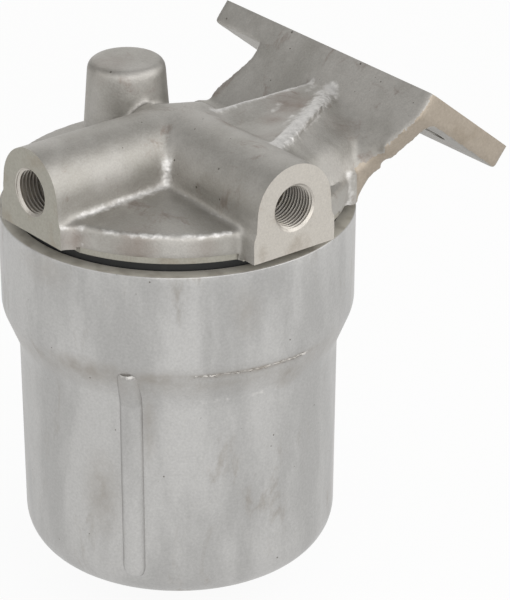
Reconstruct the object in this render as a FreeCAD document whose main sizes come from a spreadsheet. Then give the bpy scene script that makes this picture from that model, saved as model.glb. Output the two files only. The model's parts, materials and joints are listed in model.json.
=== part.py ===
import FreeCAD, Part
import math
import os
import re
import Sketcher
from FreeCAD import Placement, Rotation, Vector

# Hydraulic bowl filter: a cast head with a bracket, a cast bowl under it and the element inside.
# Every sub-part is drawn about the bowl's axis, with height 0 just over the bowl's rim. The placement of
# each then brings the centre of the bracket's mounting face to the origin. Lengths are millimetres.

SIZES = [
    # Bowl
    ("rim_radius", 77.6),
    ("rim_draft", 0.4),
    ("rim_top_depth", 1.6),
    ("rim_height", 46.0),
    ("shoulder_height", 18.0),
    ("body_radius", 69.8),
    ("body_draft", 1.2),
    ("bowl_depth", 164.2),
    ("bowl_foot_fillet", 19.0),
    ("rim_lip", 6.8),
    ("body_wall", 6.2),
    ("floor_thickness", 7.0),
    ("seal_ledge_depth", 5.0),
    ("inner_fillet", 10.0),
    ("pedestal_radius", 21.0),
    ("pedestal_height", 6.0),
    ("bolt_boss_radius", 15.0),
    ("bolt_boss_height", 8.6),
    ("bolt_boss_draft", 1.0),
    ("rib_radius", 5.4),
    ("rib_stand", 2.7),
    ("rib_foot_height", 17.0),
    ("rib_turn", 306.0),
    ("rib_count", 2),
    # Seal between bowl and head
    ("seal_width", 3.6),
    ("head_gap", 2.9),
    # Head disc
    ("disc_radius", 75.0),
    ("disc_height", 13.3),
    ("register_radius", 73.6),
    ("register_height", 3.1),
    ("spigot_wall", 7.5),
    ("spigot_depth", 8.0),
    ("recess_roof", 6.4),
    ("hub_radius", 25.0),
    ("hub_rise", 2.6),
    ("disc_edge_fillet", 2.4),
    # Port arms
    ("port_height", 24.0),
    ("arch_radius", 19.5),
    ("arm_root_half_width", 20.2),
    ("arm_crease_fillet", 5.0),
    ("arm_root_fillet", 2.0),
    ("right_face_reach", 81.1),
    ("left_face_reach", 77.0),
    ("foot_half_width", 21.4),
    ("foot_height", 12.3),
    ("foot_length", 14.0),
    ("port_thread_radius", 10.48),
    ("port_thread_depth", 20.0),
    ("gallery_radius", 7.5),
    ("gallery_wall", 2.0),
    ("inlet_drop_place", 51.0),
    # Element spigot, outlet well and bolt boss of the head
    ("element_spigot_radius", 21.0),
    ("element_spigot_wall", 4.0),
    ("element_spigot_depth", 27.0),
    ("well_roof", 27.0),
    ("tapped_boss_radius", 11.5),
    ("tapped_boss_depth", 6.0),
    ("tapped_bore_depth", 31.0),
    # Bypass valve housing
    ("knob_place", 35.7),
    ("knob_radius", 19.8),
    ("knob_top_radius", 16.9),
    ("knob_top", 54.0),
    ("knob_fillet", 4.0),
    ("valve_bore_radius", 11.0),
    ("valve_bore_top", 48.0),
    ("cross_bore_radius", 4.5),
    ("cross_bore_height", 21.5),
    # Bracket
    ("bracket_angle", 39.4),
    ("pad_edge_away", 82.7),
    ("pad_edge_height", 51.0),
    ("pad_length", 144.2),
    ("pad_width", 57.5),
    ("pad_thickness", 11.2),
    ("pad_hole_radius", 5.5),
    ("pad_hole_spacing", 104.0),
    ("pad_corner_fillet", 2.0),
    ("bracket_inner_fillet", 4.0),
    ("web_thickness", 9.0),
    ("web_left_top", 37.5),
    ("web_left_shoulder", 38.5),
    ("web_left_shoulder_depth", 20.2),
    ("web_left_waist", 48.5),
    ("web_left_waist_depth", 39.0),
    ("web_right_waist", 56.0),
    ("web_right_waist_depth", 43.0),
    ("web_post_radius", 2.6),
    ("web_post_away", 54.0),
    ("web_post_top", 18.4),
    # Gusset between the arms and the web
    ("gusset_top_left", 4.0),
    ("gusset_top_right", 20.6),
    ("gusset_top_depth", 14.5),
    ("gusset_root_left", 6.0),
    ("gusset_root_right", 59.0),
    ("gusset_root_height", 39.0),
    ("gusset_left_ridge", 2.5),
    ("gusset_right_ridge", 4.5),
    ("gusset_hollow_depth", 4.5),
    ("gusset_top_hollow_depth", 2.5),
    # Centre bolt and what seals and keeps it
    ("bolt_radius", 6.0),
    ("hex_across_flats", 19.0),
    ("hex_height", 12.0),
    ("hex_turn", 33.6),
    ("hex_chamfer", 1.4),
    ("bolt_engagement", 20.0),
    ("bolt_tip_chamfer", 1.2),
    ("washer_radius", 12.5),
    ("washer_thickness", 2.0),
    ("bolt_ring_cord", 1.4),
    ("keeper_thickness", 1.2),
    ("keeper_radius", 9.0),
    ("keeper_groove_depth", 0.9),
    # Spring under the element
    ("seat_washer_thickness", 1.5),
    ("spring_radius", 17.0),
    ("spring_wire_radius", 1.25),
    ("spring_length", 17.0),
    ("spring_turns", 4),
    ("cup_thickness", 1.5),
    ("cup_collar_height", 4.0),
    # Filter element
    ("element_radius", 48.5),
    ("element_top_depth", 19.2),
    ("cap_thickness", 1.2),
    ("cap_lip_height", 5.0),
    ("core_radius", 28.0),
    ("core_wall", 1.0),
    ("core_hole_radius", 3.2),
    ("core_hole_rows", 5),
    ("core_hole_pairs", 3),
    ("pleat_count", 40),
    ("pleat_sheet", 1.1),
    ("pleat_depth", 18.5),
    ("grommet_thickness", 5.2),
    ("grommet_bite", 2.0),
    # Bypass valve
    ("valve_keeper_depth", 0.8),
    ("valve_keeper_bite", 1.2),
    ("valve_keeper_width", 3.0),
    ("valve_seat_height", 4.0),
    ("valve_seat_bore", 6.6),
    ("valve_seat_chamfer", 1.0),
    ("poppet_radius", 9.4),
    ("poppet_thickness", 2.0),
    ("poppet_pin_radius", 4.0),
    ("poppet_pin_height", 4.0),
    ("poppet_pin_draft", 0.5),
    ("poppet_wing_width", 2.2),
    ("valve_spring_radius", 5.6),
    ("valve_wire_radius", 0.8),
    ("valve_spring_turns", 7),
    # Clearances, and how far a cut starts outside its piece or a rib inside what carries it
    ("fit_clearance", 0.3),
    ("running_clearance", 0.06),
    ("spigot_clearance", 0.5),
    ("bolt_hole_clearance", 0.5),
    ("assembly_clearance", 0.1),
    ("overrun", 1.0),
]

# How far an edge may lie from the spot that names it.
EDGE_REACH = 1.0

# Numbers that a sketch gives to the points of a line, an arc or a circle.
START, END, CENTRE = 1, 2, 3

doc = FreeCAD.newDocument("HydraulicFilter")
sheet = doc.addObject("Spreadsheet::Sheet", "Sizes")
for row, (alias, value) in enumerate(SIZES, 1):
    sheet.set(f"A{row}", alias)
    sheet.set(f"B{row}", str(value))
    sheet.setAlias(f"B{row}", alias)
doc.recompute()

NAMES = {alias for alias, value in SIZES}


def cells(text):
    """Write 'rim_radius - 2' as the sheet's expression 'Sizes.rim_radius - 2'."""
    return re.sub(r"[a-z_]+", lambda word: f"Sizes.{word[0]}" if word[0] in NAMES else word[0], text)


# Heights and radii that several pieces share, as expressions on the sheet.
DISC_TOP = "(head_gap + disc_height)"
SEAL_BORE = "(rim_radius - rim_lip)"
SEAL_OUTER = f"({SEAL_BORE} - fit_clearance)"
SEAL_INNER = f"({SEAL_OUTER} - seal_width)"
SPIGOT_RADIUS = f"({SEAL_INNER} - fit_clearance)"
RIM_FOOT = "(rim_radius - rim_draft)"
BODY_FOOT = "(body_radius - body_draft)"
RIM_BORE = f"({SPIGOT_RADIUS} + spigot_clearance)"
BODY_BORE = "(body_radius - body_wall)"
FLOOR_TOP = "(floor_thickness - bowl_depth)"
PEDESTAL_TOP = f"({FLOOR_TOP} + pedestal_height)"
SEAT_TOP = f"({PEDESTAL_TOP} + seat_washer_thickness)"
CUP_FOOT = f"({SEAT_TOP} + spring_length)"
LOWER_CAP = f"({CUP_FOOT} + cup_thickness)"
UPPER_CAP = "(0 - element_top_depth - cap_thickness)"
BOSS_FOOT = "(0 - bowl_depth - bolt_boss_height)"
HEX_TOP = f"({BOSS_FOOT} - washer_thickness)"
WELL_RADIUS = "(element_spigot_radius - element_spigot_wall)"
VALVE_KEEPER = "(recess_roof + valve_keeper_depth)"
VALVE_SEAT = f"({VALVE_KEEPER} + keeper_thickness)"
VALVE_FACE = f"({VALVE_SEAT} + valve_seat_height)"
WEB_FALL = "(pad_edge_height - head_gap - register_height / 2 - web_thickness * sin(bracket_angle))"
WEB_ROOT = f"({WEB_FALL} / cos(bracket_angle))"
BOLT_FIT = "(bolt_radius + fit_clearance)"
BOLT_HOLE = "(bolt_radius + bolt_hole_clearance)"
SPIGOT_FIT = "(element_spigot_radius + fit_clearance)"
CAST_ROOT = f"({DISC_TOP} - overrun * 2)"
FACE_AWAY = "(pad_edge_away + pad_width / 2 * cos(bracket_angle))"
FACE_HEIGHT = "(pad_edge_height - pad_width / 2 * sin(bracket_angle))"


def number(text):
    """The present value of an expression on the sheet."""
    result = sheet.evalExpression(cells(text))
    return float(getattr(result, "Value", result))


def plane(body, role):
    for feature in body.Origin.OriginFeatures:
        if feature.Role == role:
            return feature
    raise ValueError(role)


def new_body(label):
    """A sub-part whose placement puts the bracket face's centre at the origin."""
    body = doc.addObject("PartDesign::Body", label)
    body.Label = label
    body.setExpression("Placement.Base.y", cells(f"0 - {FACE_AWAY}"))
    body.setExpression("Placement.Base.z", cells(f"0 - {FACE_HEIGHT}"))
    return body


def new_sketch(body, name, role, shift=(None, None, None), axis=None, turn=None):
    """A sketch on one of the body's planes, moved by expressions and turned about an axis of its own."""
    sketch = body.newObject("Sketcher::SketchObject", name)
    sketch.AttachmentSupport = (plane(body, role), [""])
    sketch.MapMode = "FlatFace"
    if turn:
        sketch.AttachmentOffset = Placement(Vector(0, 0, 0), Rotation(axis, 1.0))
        sketch.setExpression("AttachmentOffset.Rotation.Angle", cells(turn))
    for letter, move in zip("xyz", shift):
        if move:
            sketch.setExpression(f"AttachmentOffset.Base.{letter}", cells(move))
    return sketch


def bind(sketch, kind, geometry, point, value):
    """Fix one coordinate of a sketch point with an expression."""
    constraint = Sketcher.Constraint(kind, -1, 1, geometry, point, number(value))
    index = sketch.addConstraint(constraint)
    sketch.setExpression(f"Constraints[{index}]", cells(value))


def outline(sketch, points):
    """A closed outline. A point with a third entry starts an arc about that centre."""
    first = sketch.GeometryCount
    places = [Vector(number(point[0]), number(point[1]), 0) for point in points]
    count = len(points)
    for index, point in enumerate(points):
        here, there = places[index], places[(index + 1) % count]
        if len(point) == 2:
            sketch.addGeometry(Part.LineSegment(here, there), False)
            continue
        centre = Vector(number(point[2][0]), number(point[2][1]), 0)
        radius = (here - centre).Length
        start = math.atan2(here.y - centre.y, here.x - centre.x)
        finish = math.atan2(there.y - centre.y, there.x - centre.x)
        whole = Part.Circle(centre, Vector(0, 0, 1), radius)
        sketch.addGeometry(Part.ArcOfCircle(whole, start, finish), False)
    for index in range(count):
        following = (index + 1) % count
        sketch.addConstraint(Sketcher.Constraint("Coincident", first + index, END, first + following, START))
    for index, point in enumerate(points):
        bind(sketch, "DistanceX", first + index, START, point[0])
        bind(sketch, "DistanceY", first + index, START, point[1])
        if len(point) == 3:
            chord = places[(index + 1) % count] - places[index]
            if abs(chord.y) > abs(chord.x):
                bind(sketch, "DistanceX", first + index, CENTRE, point[2][0])
            else:
                bind(sketch, "DistanceY", first + index, CENTRE, point[2][1])
    return sketch


def circle(sketch, across, up, radius):
    """A circle fixed by its centre and radius."""
    index = sketch.addGeometry(
        Part.Circle(Vector(number(across), number(up), 0), Vector(0, 0, 1), number(radius)), False)
    bind(sketch, "DistanceX", index, CENTRE, across)
    bind(sketch, "DistanceY", index, CENTRE, up)
    size = sketch.addConstraint(Sketcher.Constraint("Radius", index, number(radius)))
    sketch.setExpression(f"Constraints[{size}]", cells(radius))
    return sketch


def revolve(body, name, points, cut=False, centre=None):
    """Turn an outline of radius and height about the upright axis through the sketch's origin."""
    sketch = outline(new_sketch(body, f"{name}_profile", "XZ_Plane", (centre, None, None)), points)
    kind = "PartDesign::Groove" if cut else "PartDesign::Revolution"
    feature = body.newObject(kind, name)
    feature.Profile = sketch
    feature.ReferenceAxis = (sketch, ["V_Axis"])
    feature.Angle = 360
    return finish_step(body, feature, cut)


def extrude(body, name, sketch, length, cut=False, reverse=False):
    """Pad or pocket a sketch by a length given as an expression."""
    kind = "PartDesign::Pocket" if cut else "PartDesign::Pad"
    feature = body.newObject(kind, name)
    feature.Profile = sketch
    feature.setExpression("Length", cells(length))
    feature.Reversed = reverse
    return finish_step(body, feature, cut)


def volume_of(body):
    return body.Shape.Volume if body.Shape and not body.Shape.isNull() else 0.0


def finish_step(body, feature, cut):
    """Recompute, and make sure that the step added or removed material as it should."""
    before = finish_step.volumes.get(body.Name, 0.0)
    doc.recompute()
    if "Invalid" in feature.State or "Error" in feature.State:
        raise ValueError(f"{feature.Name}: {feature.State}")
    after = volume_of(body)
    if (cut and after >= before) or (not cut and after <= before):
        raise ValueError(f"{feature.Name} changed nothing: {before:.1f} to {after:.1f}")
    finish_step.volumes[body.Name] = after
    return feature


finish_step.volumes = {}


def edge_at(body, spot):
    """The name of the edge of the body's present shape that lies nearest to a spot."""
    point = Part.Vertex(number(spot[0]), number(spot[1]), number(spot[2]))
    gaps = [edge.distToShape(point)[0] for edge in body.Tip.Shape.Edges]
    if min(gaps) > EDGE_REACH:
        raise ValueError(f"{body.Label}: no edge at {spot}")
    return f"Edge{gaps.index(min(gaps)) + 1}"


def fillet_edges(body, name, spots, radius):
    """Round the edges that lie at some spots, each given as three expressions."""
    base = body.Tip
    names = [edge_at(body, spot) for spot in spots]
    feature = body.newObject("PartDesign::Fillet", name)
    feature.Base = (base, names)
    feature.setExpression("Radius", cells(radius))
    doc.recompute()
    if "Invalid" in feature.State or "Error" in feature.State:
        raise ValueError(f"{name}: {feature.State}")
    finish_step.volumes[body.Name] = volume_of(body)
    return feature


# Head casting

def make_head():
    body = new_body("head_casting")
    add_disc(body)
    add_arms(body)
    add_knob(body)
    add_bracket(body)
    add_gusset(body)
    cut_ports(body)
    cut_wells(body)
    return body


def add_disc(body):
    """Disc with its register, the ring that enters the bowl, the element spigot and the hub."""
    inner = f"({SPIGOT_RADIUS} - spigot_wall)"
    roof_edge = f"({DISC_TOP} + hub_rise)"
    revolve(body, "disc", [
        ("0", "0 - element_spigot_depth"),
        ("element_spigot_radius", "0 - element_spigot_depth"),
        ("element_spigot_radius", "recess_roof"),
        (inner, "recess_roof"),
        (inner, "0 - spigot_depth"),
        (SPIGOT_RADIUS, "0 - spigot_depth"),
        (SPIGOT_RADIUS, "head_gap"),
        ("register_radius", "head_gap"),
        ("register_radius", "head_gap + register_height"),
        ("disc_radius", "head_gap + register_height"),
        ("disc_radius", DISC_TOP),
        ("hub_radius", roof_edge),
        ("hub_radius", "port_height", ("hub_radius - arch_radius", "port_height")),
        ("hub_radius - arch_radius", "port_height + arch_radius"),
        ("0", "port_height + arch_radius"),
    ])
    fillet_edges(body, "disc_edge", [("0", "disc_radius", DISC_TOP)], "disc_edge_fillet")


def arch(sketch):
    """Section of a port arm: upright sides with a little draft under a half-round top."""
    return outline(sketch, [
        ("arch_radius", "port_height", ("0", "port_height")),
        ("0 - arch_radius", "port_height"),
        ("0 - arm_root_half_width", CAST_ROOT),
        ("arm_root_half_width", CAST_ROOT),
    ])


def foot(sketch):
    """Section of the block under a port face."""
    return outline(sketch, [
        ("foot_half_width", "head_gap"),
        ("foot_half_width", "head_gap + foot_height"),
        ("0 - foot_half_width", "head_gap + foot_height"),
        ("0 - foot_half_width", "head_gap"),
    ])


def add_arms(body):
    """The right arm runs along +X and the left arm along -Y."""
    extrude(body, "right_arm", arch(new_sketch(body, "right_arch", "YZ_Plane")), "right_face_reach")
    extrude(body, "left_arm", arch(new_sketch(body, "left_arch", "XZ_Plane")), "left_face_reach")
    side = "(arch_radius * 3 + arm_root_half_width) / 4"
    crease = (side, f"0 - {side}", f"(port_height * 3 + {CAST_ROOT}) / 4")
    fillet_edges(body, "arm_crease", [crease], "arm_crease_fillet")
    along = "(hub_radius + disc_radius) / 2"
    level = f"{DISC_TOP} + hub_rise / 2"
    fillet_edges(body, "arm_roots", [
        (along, "0 - arm_root_half_width", level),
        (along, "arm_root_half_width", level),
        ("0 - arm_root_half_width", f"0 - {along}", level),
    ], "arm_root_fillet")
    place = (None, None, "right_face_reach - foot_length")
    extrude(body, "right_foot", foot(new_sketch(body, "right_foot_block", "YZ_Plane", place)), "foot_length")
    place = (None, None, "left_face_reach - foot_length")
    extrude(body, "left_foot", foot(new_sketch(body, "left_foot_block", "XZ_Plane", place)), "foot_length")


def add_knob(body):
    """Tapered housing of the bypass valve, opposite the right port."""
    revolve(body, "knob", [
        ("0", CAST_ROOT),
        ("knob_radius", CAST_ROOT),
        ("knob_top_radius", "knob_top"),
        ("0", "knob_top"),
    ], centre="0 - knob_place")
    fillet_edges(body, "knob_rounding", [("0 - knob_place", "knob_top_radius", "knob_top")], "knob_fillet")


def web_sketch(body, name):
    """A sketch in the plane of the web's front face, x along the pad and y up to the pad's outer edge."""
    return new_sketch(body, name, "XZ_Plane", (None, "pad_edge_height", "0 - pad_edge_away"),
                      Vector(1, 0, 0), "0 - bracket_angle")


def add_bracket(body):
    """Mounting pad, square to the web that carries it, with their front faces in one plane."""
    pad = outline(web_sketch(body, "pad_front"), [
        ("0 - pad_length / 2", "0"),
        ("0 - pad_length / 2", "0 - pad_thickness"),
        ("pad_length / 2", "0 - pad_thickness"),
        ("pad_length / 2", "0"),
    ])
    extrude(body, "pad", pad, "pad_width", reverse=True)
    web = outline(web_sketch(body, "web_front"), [
        ("0 - web_left_top", "0 - pad_thickness / 2"),
        ("0 - web_left_shoulder", "0 - web_left_shoulder_depth"),
        ("0 - web_left_waist", "0 - web_left_waist_depth"),
        ("0 - web_left_waist", f"0 - {WEB_ROOT}"),
        ("web_right_waist", f"0 - {WEB_ROOT}"),
        ("web_right_waist", "0 - web_right_waist_depth"),
        ("pad_length / 2", "0 - pad_thickness"),
        ("pad_length / 2", "0 - pad_thickness / 2"),
    ])
    extrude(body, "web", web, "web_thickness", reverse=True)
    fillet_edges(body, "bracket_corner", [bracket_spot("0", "pad_thickness", "web_thickness")],
                 "bracket_inner_fillet")
    fillet_edges(body, "pad_corners", [
        bracket_spot(f"{side} * pad_length / 2", "pad_thickness / 2", behind)
        for side in (-1, 1) for behind in ("0", "pad_width")
    ], "pad_corner_fillet")
    post = circle(new_sketch(body, "web_post_circle", "XY_Plane", (None, None, "head_gap")),
                  "web_right_waist - web_post_radius", "web_post_away", "web_post_radius")
    extrude(body, "web_post", post, "web_post_top - head_gap")


def bracket_spot(across, depth, behind):
    """A spot at a depth below the pad's outer edge along the web, and a way behind it along the pad."""
    away = f"pad_edge_away - {depth} * sin(bracket_angle) + {behind} * cos(bracket_angle)"
    height = f"pad_edge_height - {depth} * cos(bracket_angle) - {behind} * sin(bracket_angle)"
    return (across, away, height)


def ridged(sketch, left, right, foot, top, depth):
    """Section of the gusset: a ridge at each side, and an arc between them that dips by a depth."""
    start = f"({left} + gusset_left_ridge)"
    finish = f"({right} - gusset_right_ridge)"
    half = f"(({finish} - {start}) / 2)"
    rise = f"(({half} * {half} - {depth} * {depth}) / (2 * {depth}))"
    return outline(sketch, [
        (left, foot),
        (left, top),
        (start, top, (f"({start} + {finish}) / 2", f"{top} + {rise}")),
        (finish, top),
        (right, top),
        (right, foot),
    ])


def add_gusset(body):
    """Triangular rib from the right arm to the web, with a hollow between its two ridges."""
    place = (None, None, "0 - arch_radius / 2")
    root = ridged(new_sketch(body, "gusset_root", "XZ_Plane", place), "gusset_root_left", "gusset_root_right",
                  CAST_ROOT, "gusset_root_height", "gusset_hollow_depth")
    foot = f"(({CAST_ROOT} - pad_edge_height) / cos(bracket_angle))"
    top = ridged(web_sketch(body, "gusset_top"), "gusset_top_left", "gusset_top_right",
                 foot, "(0 - gusset_top_depth)", "gusset_top_hollow_depth")
    loft = body.newObject("PartDesign::AdditiveLoft", "gusset")
    loft.Profile = root
    loft.Sections = [top]
    loft.Ruled = True
    finish_step(body, loft, False)


def cut_ports(body):
    """Threaded mouths, their galleries and the drop that feeds the space around the element."""
    def port(name, role, reach, deep):
        mouth = circle(new_sketch(body, f"{name}_mouth", role, (None, None, reach)), "0", "port_height",
                       "port_thread_radius")
        extrude(body, f"{name}_thread", mouth, "port_thread_depth", cut=True)
        run = circle(new_sketch(body, f"{name}_run", role, (None, None, reach)), "0", "port_height",
                     "gallery_radius")
        extrude(body, f"{name}_gallery", run, deep, cut=True)
    port("right_port", "YZ_Plane", "right_face_reach", "right_face_reach - inlet_drop_place")
    port("left_port", "XZ_Plane", "left_face_reach", "left_face_reach - tapped_boss_radius - gallery_wall")
    drop = circle(new_sketch(body, "inlet_drop", "XY_Plane", (None, None, "recess_roof - overrun")),
                  "inlet_drop_place", "0", "gallery_radius")
    extrude(body, "inlet_fall", drop, "port_height - recess_roof + overrun", cut=True, reverse=True)


def cut_wells(body):
    """Outlet well around the tapped boss, and the bypass valve's bore with its cross passage."""
    revolve(body, "outlet_well", [
        ("0", "0 - element_spigot_depth - overrun"),
        (WELL_RADIUS, "0 - element_spigot_depth - overrun"),
        (WELL_RADIUS, "well_roof"),
        ("tapped_boss_radius", "well_roof"),
        ("tapped_boss_radius", "0 - tapped_boss_depth"),
        ("bolt_radius + running_clearance", "0 - tapped_boss_depth"),
        ("bolt_radius + running_clearance", "tapped_bore_depth - tapped_boss_depth"),
        ("0", "tapped_bore_depth - tapped_boss_depth + bolt_radius / 2"),
    ], cut=True)
    slot = "valve_bore_radius + valve_keeper_bite + assembly_clearance"
    revolve(body, "valve_bore", [
        ("0", "recess_roof - overrun"),
        ("valve_bore_radius", "recess_roof - overrun"),
        ("valve_bore_radius", VALVE_KEEPER),
        (slot, VALVE_KEEPER),
        (slot, VALVE_SEAT),
        ("valve_bore_radius", VALVE_SEAT),
        ("valve_bore_radius", "valve_bore_top"),
        ("0", "valve_bore_top"),
    ], cut=True, centre="0 - knob_place")
    cross_start = "tapped_boss_radius + overrun"
    cross = circle(new_sketch(body, "cross_bore", "YZ_Plane", (None, None, f"0 - ({cross_start})")),
                   "0", "cross_bore_height", "cross_bore_radius")
    extrude(body, "cross_passage", cross, f"knob_place - ({cross_start})", cut=True)
    extrude(body, "pad_holes", pad_hole_sketch(body), "pad_thickness", cut=True)


def pad_hole_sketch(body):
    """Two bolt holes in the plane of the pad's mounting face, through the flange behind the web."""
    sketch = new_sketch(body, "pad_hole_circles", "XY_Plane", (None, "pad_edge_away", "pad_edge_height"),
                        Vector(1, 0, 0), "0 - bracket_angle")
    middle = "(web_thickness + pad_width) / 2"
    circle(sketch, "0 - pad_hole_spacing / 2", middle, "pad_hole_radius")
    circle(sketch, "pad_hole_spacing / 2", middle, "pad_hole_radius")
    return sketch


# Bowl and its seal

def make_bowl():
    body = new_body("bowl")
    revolve(body, "shell", [
        ("0", "0 - rim_top_depth"),
        ("rim_radius", "0 - rim_top_depth"),
        (RIM_FOOT, "0 - rim_height"),
        ("body_radius", "0 - rim_height - shoulder_height"),
        (BODY_FOOT, "0 - bowl_depth"),
        ("0", "0 - bowl_depth"),
    ])
    fillet_edges(body, "foot_rounding", [("0", BODY_FOOT, "0 - bowl_depth")], "bowl_foot_fillet")
    revolve(body, "bolt_boss", [
        ("0", "0 - bowl_depth + floor_thickness / 2"),
        ("bolt_boss_radius", "0 - bowl_depth + floor_thickness / 2"),
        ("bolt_boss_radius - bolt_boss_draft", BOSS_FOOT),
        ("0", BOSS_FOOT),
    ])
    ring_bore = f"({BOLT_FIT} + bolt_ring_cord * 2 + assembly_clearance)"
    ring_floor = f"{PEDESTAL_TOP} - bolt_ring_cord * 2"
    revolve(body, "cavity", [
        ("0", "overrun"),
        (SEAL_BORE, "overrun"),
        (SEAL_BORE, "0 - seal_ledge_depth"),
        (RIM_BORE, "0 - seal_ledge_depth"),
        (RIM_BORE, "0 - rim_height"),
        (BODY_BORE, "0 - rim_height - shoulder_height"),
        (f"{BODY_FOOT} - body_wall", FLOOR_TOP),
        ("pedestal_radius", FLOOR_TOP),
        ("pedestal_radius", PEDESTAL_TOP),
        (ring_bore, PEDESTAL_TOP),
        (ring_bore, ring_floor),
        (BOLT_HOLE, ring_floor),
        (BOLT_HOLE, f"{BOSS_FOOT} - overrun"),
        ("0", f"{BOSS_FOOT} - overrun"),
    ], cut=True)
    fillet_edges(body, "floor_rounding", [("0", f"{BODY_FOOT} - body_wall", FLOOR_TOP)], "inner_fillet")
    add_ribs(body)
    return body


def add_ribs(body):
    """Half-round ribs that run down the bowl from the shoulder, evenly spaced about the axis."""
    def section(name, radius, height):
        chord = f"({radius} - rib_radius + rib_stand)"
        sketch = new_sketch(body, name, "XY_Plane", (None, None, height), Vector(0, 0, 1), "rib_turn")
        return outline(sketch, [(chord, "0 - rib_radius", (chord, "0")), (chord, "rib_radius")])
    head = section("rib_head", "body_radius", "0 - rim_height - shoulder_height / 2")
    end = section("rib_foot", BODY_FOOT, "rib_foot_height - bowl_depth")
    loft = body.newObject("PartDesign::AdditiveLoft", "rib")
    loft.Profile = head
    loft.Sections = [end]
    finish_step(body, loft, False)
    pattern = body.newObject("PartDesign::PolarPattern", "ribs")
    pattern.Originals = [loft]
    pattern.Axis = (plane(body, "Z_Axis"), [""])
    pattern.Angle = 360
    pattern.setExpression("Occurrences", cells("rib_count"))
    body.Tip = pattern
    finish_step(body, pattern, False)


def make_ring(label, inner, outer, foot, top):
    """A plain ring of rectangular section."""
    body = new_body(label)
    revolve(body, "ring", [(inner, foot), (outer, foot), (outer, top), (inner, top)])
    return body


def make_open_ring(label, inner, outer, foot, top, gap):
    """A retaining ring with a gap, so that it can be sprung into its groove."""
    body = make_ring(label, inner, outer, foot, top)
    opening = outline(new_sketch(body, "opening_outline", "XY_Plane", (None, None, foot)), [
        ("0", f"0 - {gap} / 2"),
        (f"{outer} + overrun", f"0 - {gap} / 2"),
        (f"{outer} + overrun", f"{gap} / 2"),
        ("0", f"{gap} / 2"),
    ])
    extrude(body, "opening", opening, f"({top} - {foot})", cut=True, reverse=True)
    return body


# Centre bolt with its seals and keeper

def make_bolt():
    body = new_body("centre_bolt")
    tip = "(bolt_engagement - tapped_boss_depth)"
    groove = "(bolt_radius - keeper_groove_depth)"
    keeper_foot = f"({SEAT_TOP} + fit_clearance)"
    keeper_top = f"({SEAT_TOP} + fit_clearance + keeper_thickness)"
    revolve(body, "shank", [
        ("0", HEX_TOP),
        ("bolt_radius", HEX_TOP),
        ("bolt_radius", f"{keeper_foot} - assembly_clearance"),
        (groove, f"{keeper_foot} - assembly_clearance"),
        (groove, f"{keeper_top} + assembly_clearance"),
        ("bolt_radius", f"{keeper_top} + assembly_clearance"),
        ("bolt_radius", f"{tip} - bolt_tip_chamfer"),
        ("bolt_radius - bolt_tip_chamfer", tip),
        ("0", tip),
    ])
    corner = "hex_across_flats / sqrt(3)"
    hexagon = outline(new_sketch(body, "hexagon", "XY_Plane", (None, None, HEX_TOP)), [
        (f"{corner} * cos(hex_turn + {60 * side})", f"{corner} * sin(hex_turn + {60 * side})")
        for side in range(6)
    ])
    extrude(body, "hex_head", hexagon, "hex_height", reverse=True)
    foot = f"({HEX_TOP} - hex_height)"
    beyond = f"({corner} + overrun)"
    revolve(body, "hex_corners", [
        ("hex_across_flats / 2", foot),
        (beyond, foot),
        (beyond, f"{foot} + hex_chamfer * 2"),
    ], cut=True)
    make_ring("bolt_washer", BOLT_FIT, "washer_radius", HEX_TOP, BOSS_FOOT)
    make_open_ring("bolt_keeper", f"({groove} + assembly_clearance)", "keeper_radius",
                   keeper_foot, keeper_top, "(keeper_radius / 2)")
    ring = new_body("bolt_o_ring")
    centre = f"({BOLT_FIT} + bolt_ring_cord)"
    section = circle(new_sketch(ring, "cord", "XZ_Plane"), centre, f"{PEDESTAL_TOP} - bolt_ring_cord",
                     "bolt_ring_cord")
    feature = ring.newObject("PartDesign::Revolution", "ring")
    feature.Profile = section
    feature.ReferenceAxis = (section, ["V_Axis"])
    finish_step(ring, feature, False)


def make_spring(label, radius, wire, foot, top, turns):
    """A round-wire compression spring between two seats."""
    body = new_body(label)
    section = circle(new_sketch(body, "wire", "XZ_Plane"), radius, f"{foot} + {wire}", wire)
    spring = body.newObject("PartDesign::AdditiveHelix", "coil")
    spring.Profile = section
    spring.ReferenceAxis = (section, ["V_Axis"])
    spring.Mode = 0
    spring.setExpression("Height", cells(f"({top} - {foot} - 2 * {wire})"))
    spring.setExpression("Pitch", cells(f"({top} - {foot} - 2 * {wire}) / {turns}"))
    finish_step(body, spring, False)
    return body


# Filter element and the spring that lifts it

def make_element():
    make_ring("spring_seat_washer", BOLT_HOLE, "pedestal_radius - 1", PEDESTAL_TOP, SEAT_TOP)
    make_spring("element_spring", "spring_radius", "spring_wire_radius", SEAT_TOP, CUP_FOOT, "spring_turns")
    cup = new_body("spring_cup")
    collar = "(spring_radius - spring_wire_radius - fit_clearance)"
    revolve(cup, "cup", [
        (f"{collar} - cup_thickness", f"{CUP_FOOT} - cup_collar_height"),
        (collar, f"{CUP_FOOT} - cup_collar_height"),
        (collar, CUP_FOOT),
        ("spring_radius + spring_wire_radius * 2", CUP_FOOT),
        ("spring_radius + spring_wire_radius * 2", LOWER_CAP),
        (f"{collar} - cup_thickness", LOWER_CAP),
    ])
    lower_hole = f"({BOLT_FIT} + grommet_thickness - grommet_bite + assembly_clearance)"
    upper_hole = f"({SPIGOT_FIT} + grommet_thickness - grommet_bite + assembly_clearance)"
    make_cap("element_lower_cap", lower_hole, LOWER_CAP, 1)
    make_cap("element_upper_cap", upper_hole, f"({UPPER_CAP} + cap_thickness)", -1)
    make_grommet("element_lower_grommet", BOLT_FIT, LOWER_CAP)
    make_grommet("element_upper_grommet", SPIGOT_FIT, UPPER_CAP)
    make_core()
    make_media()


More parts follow.
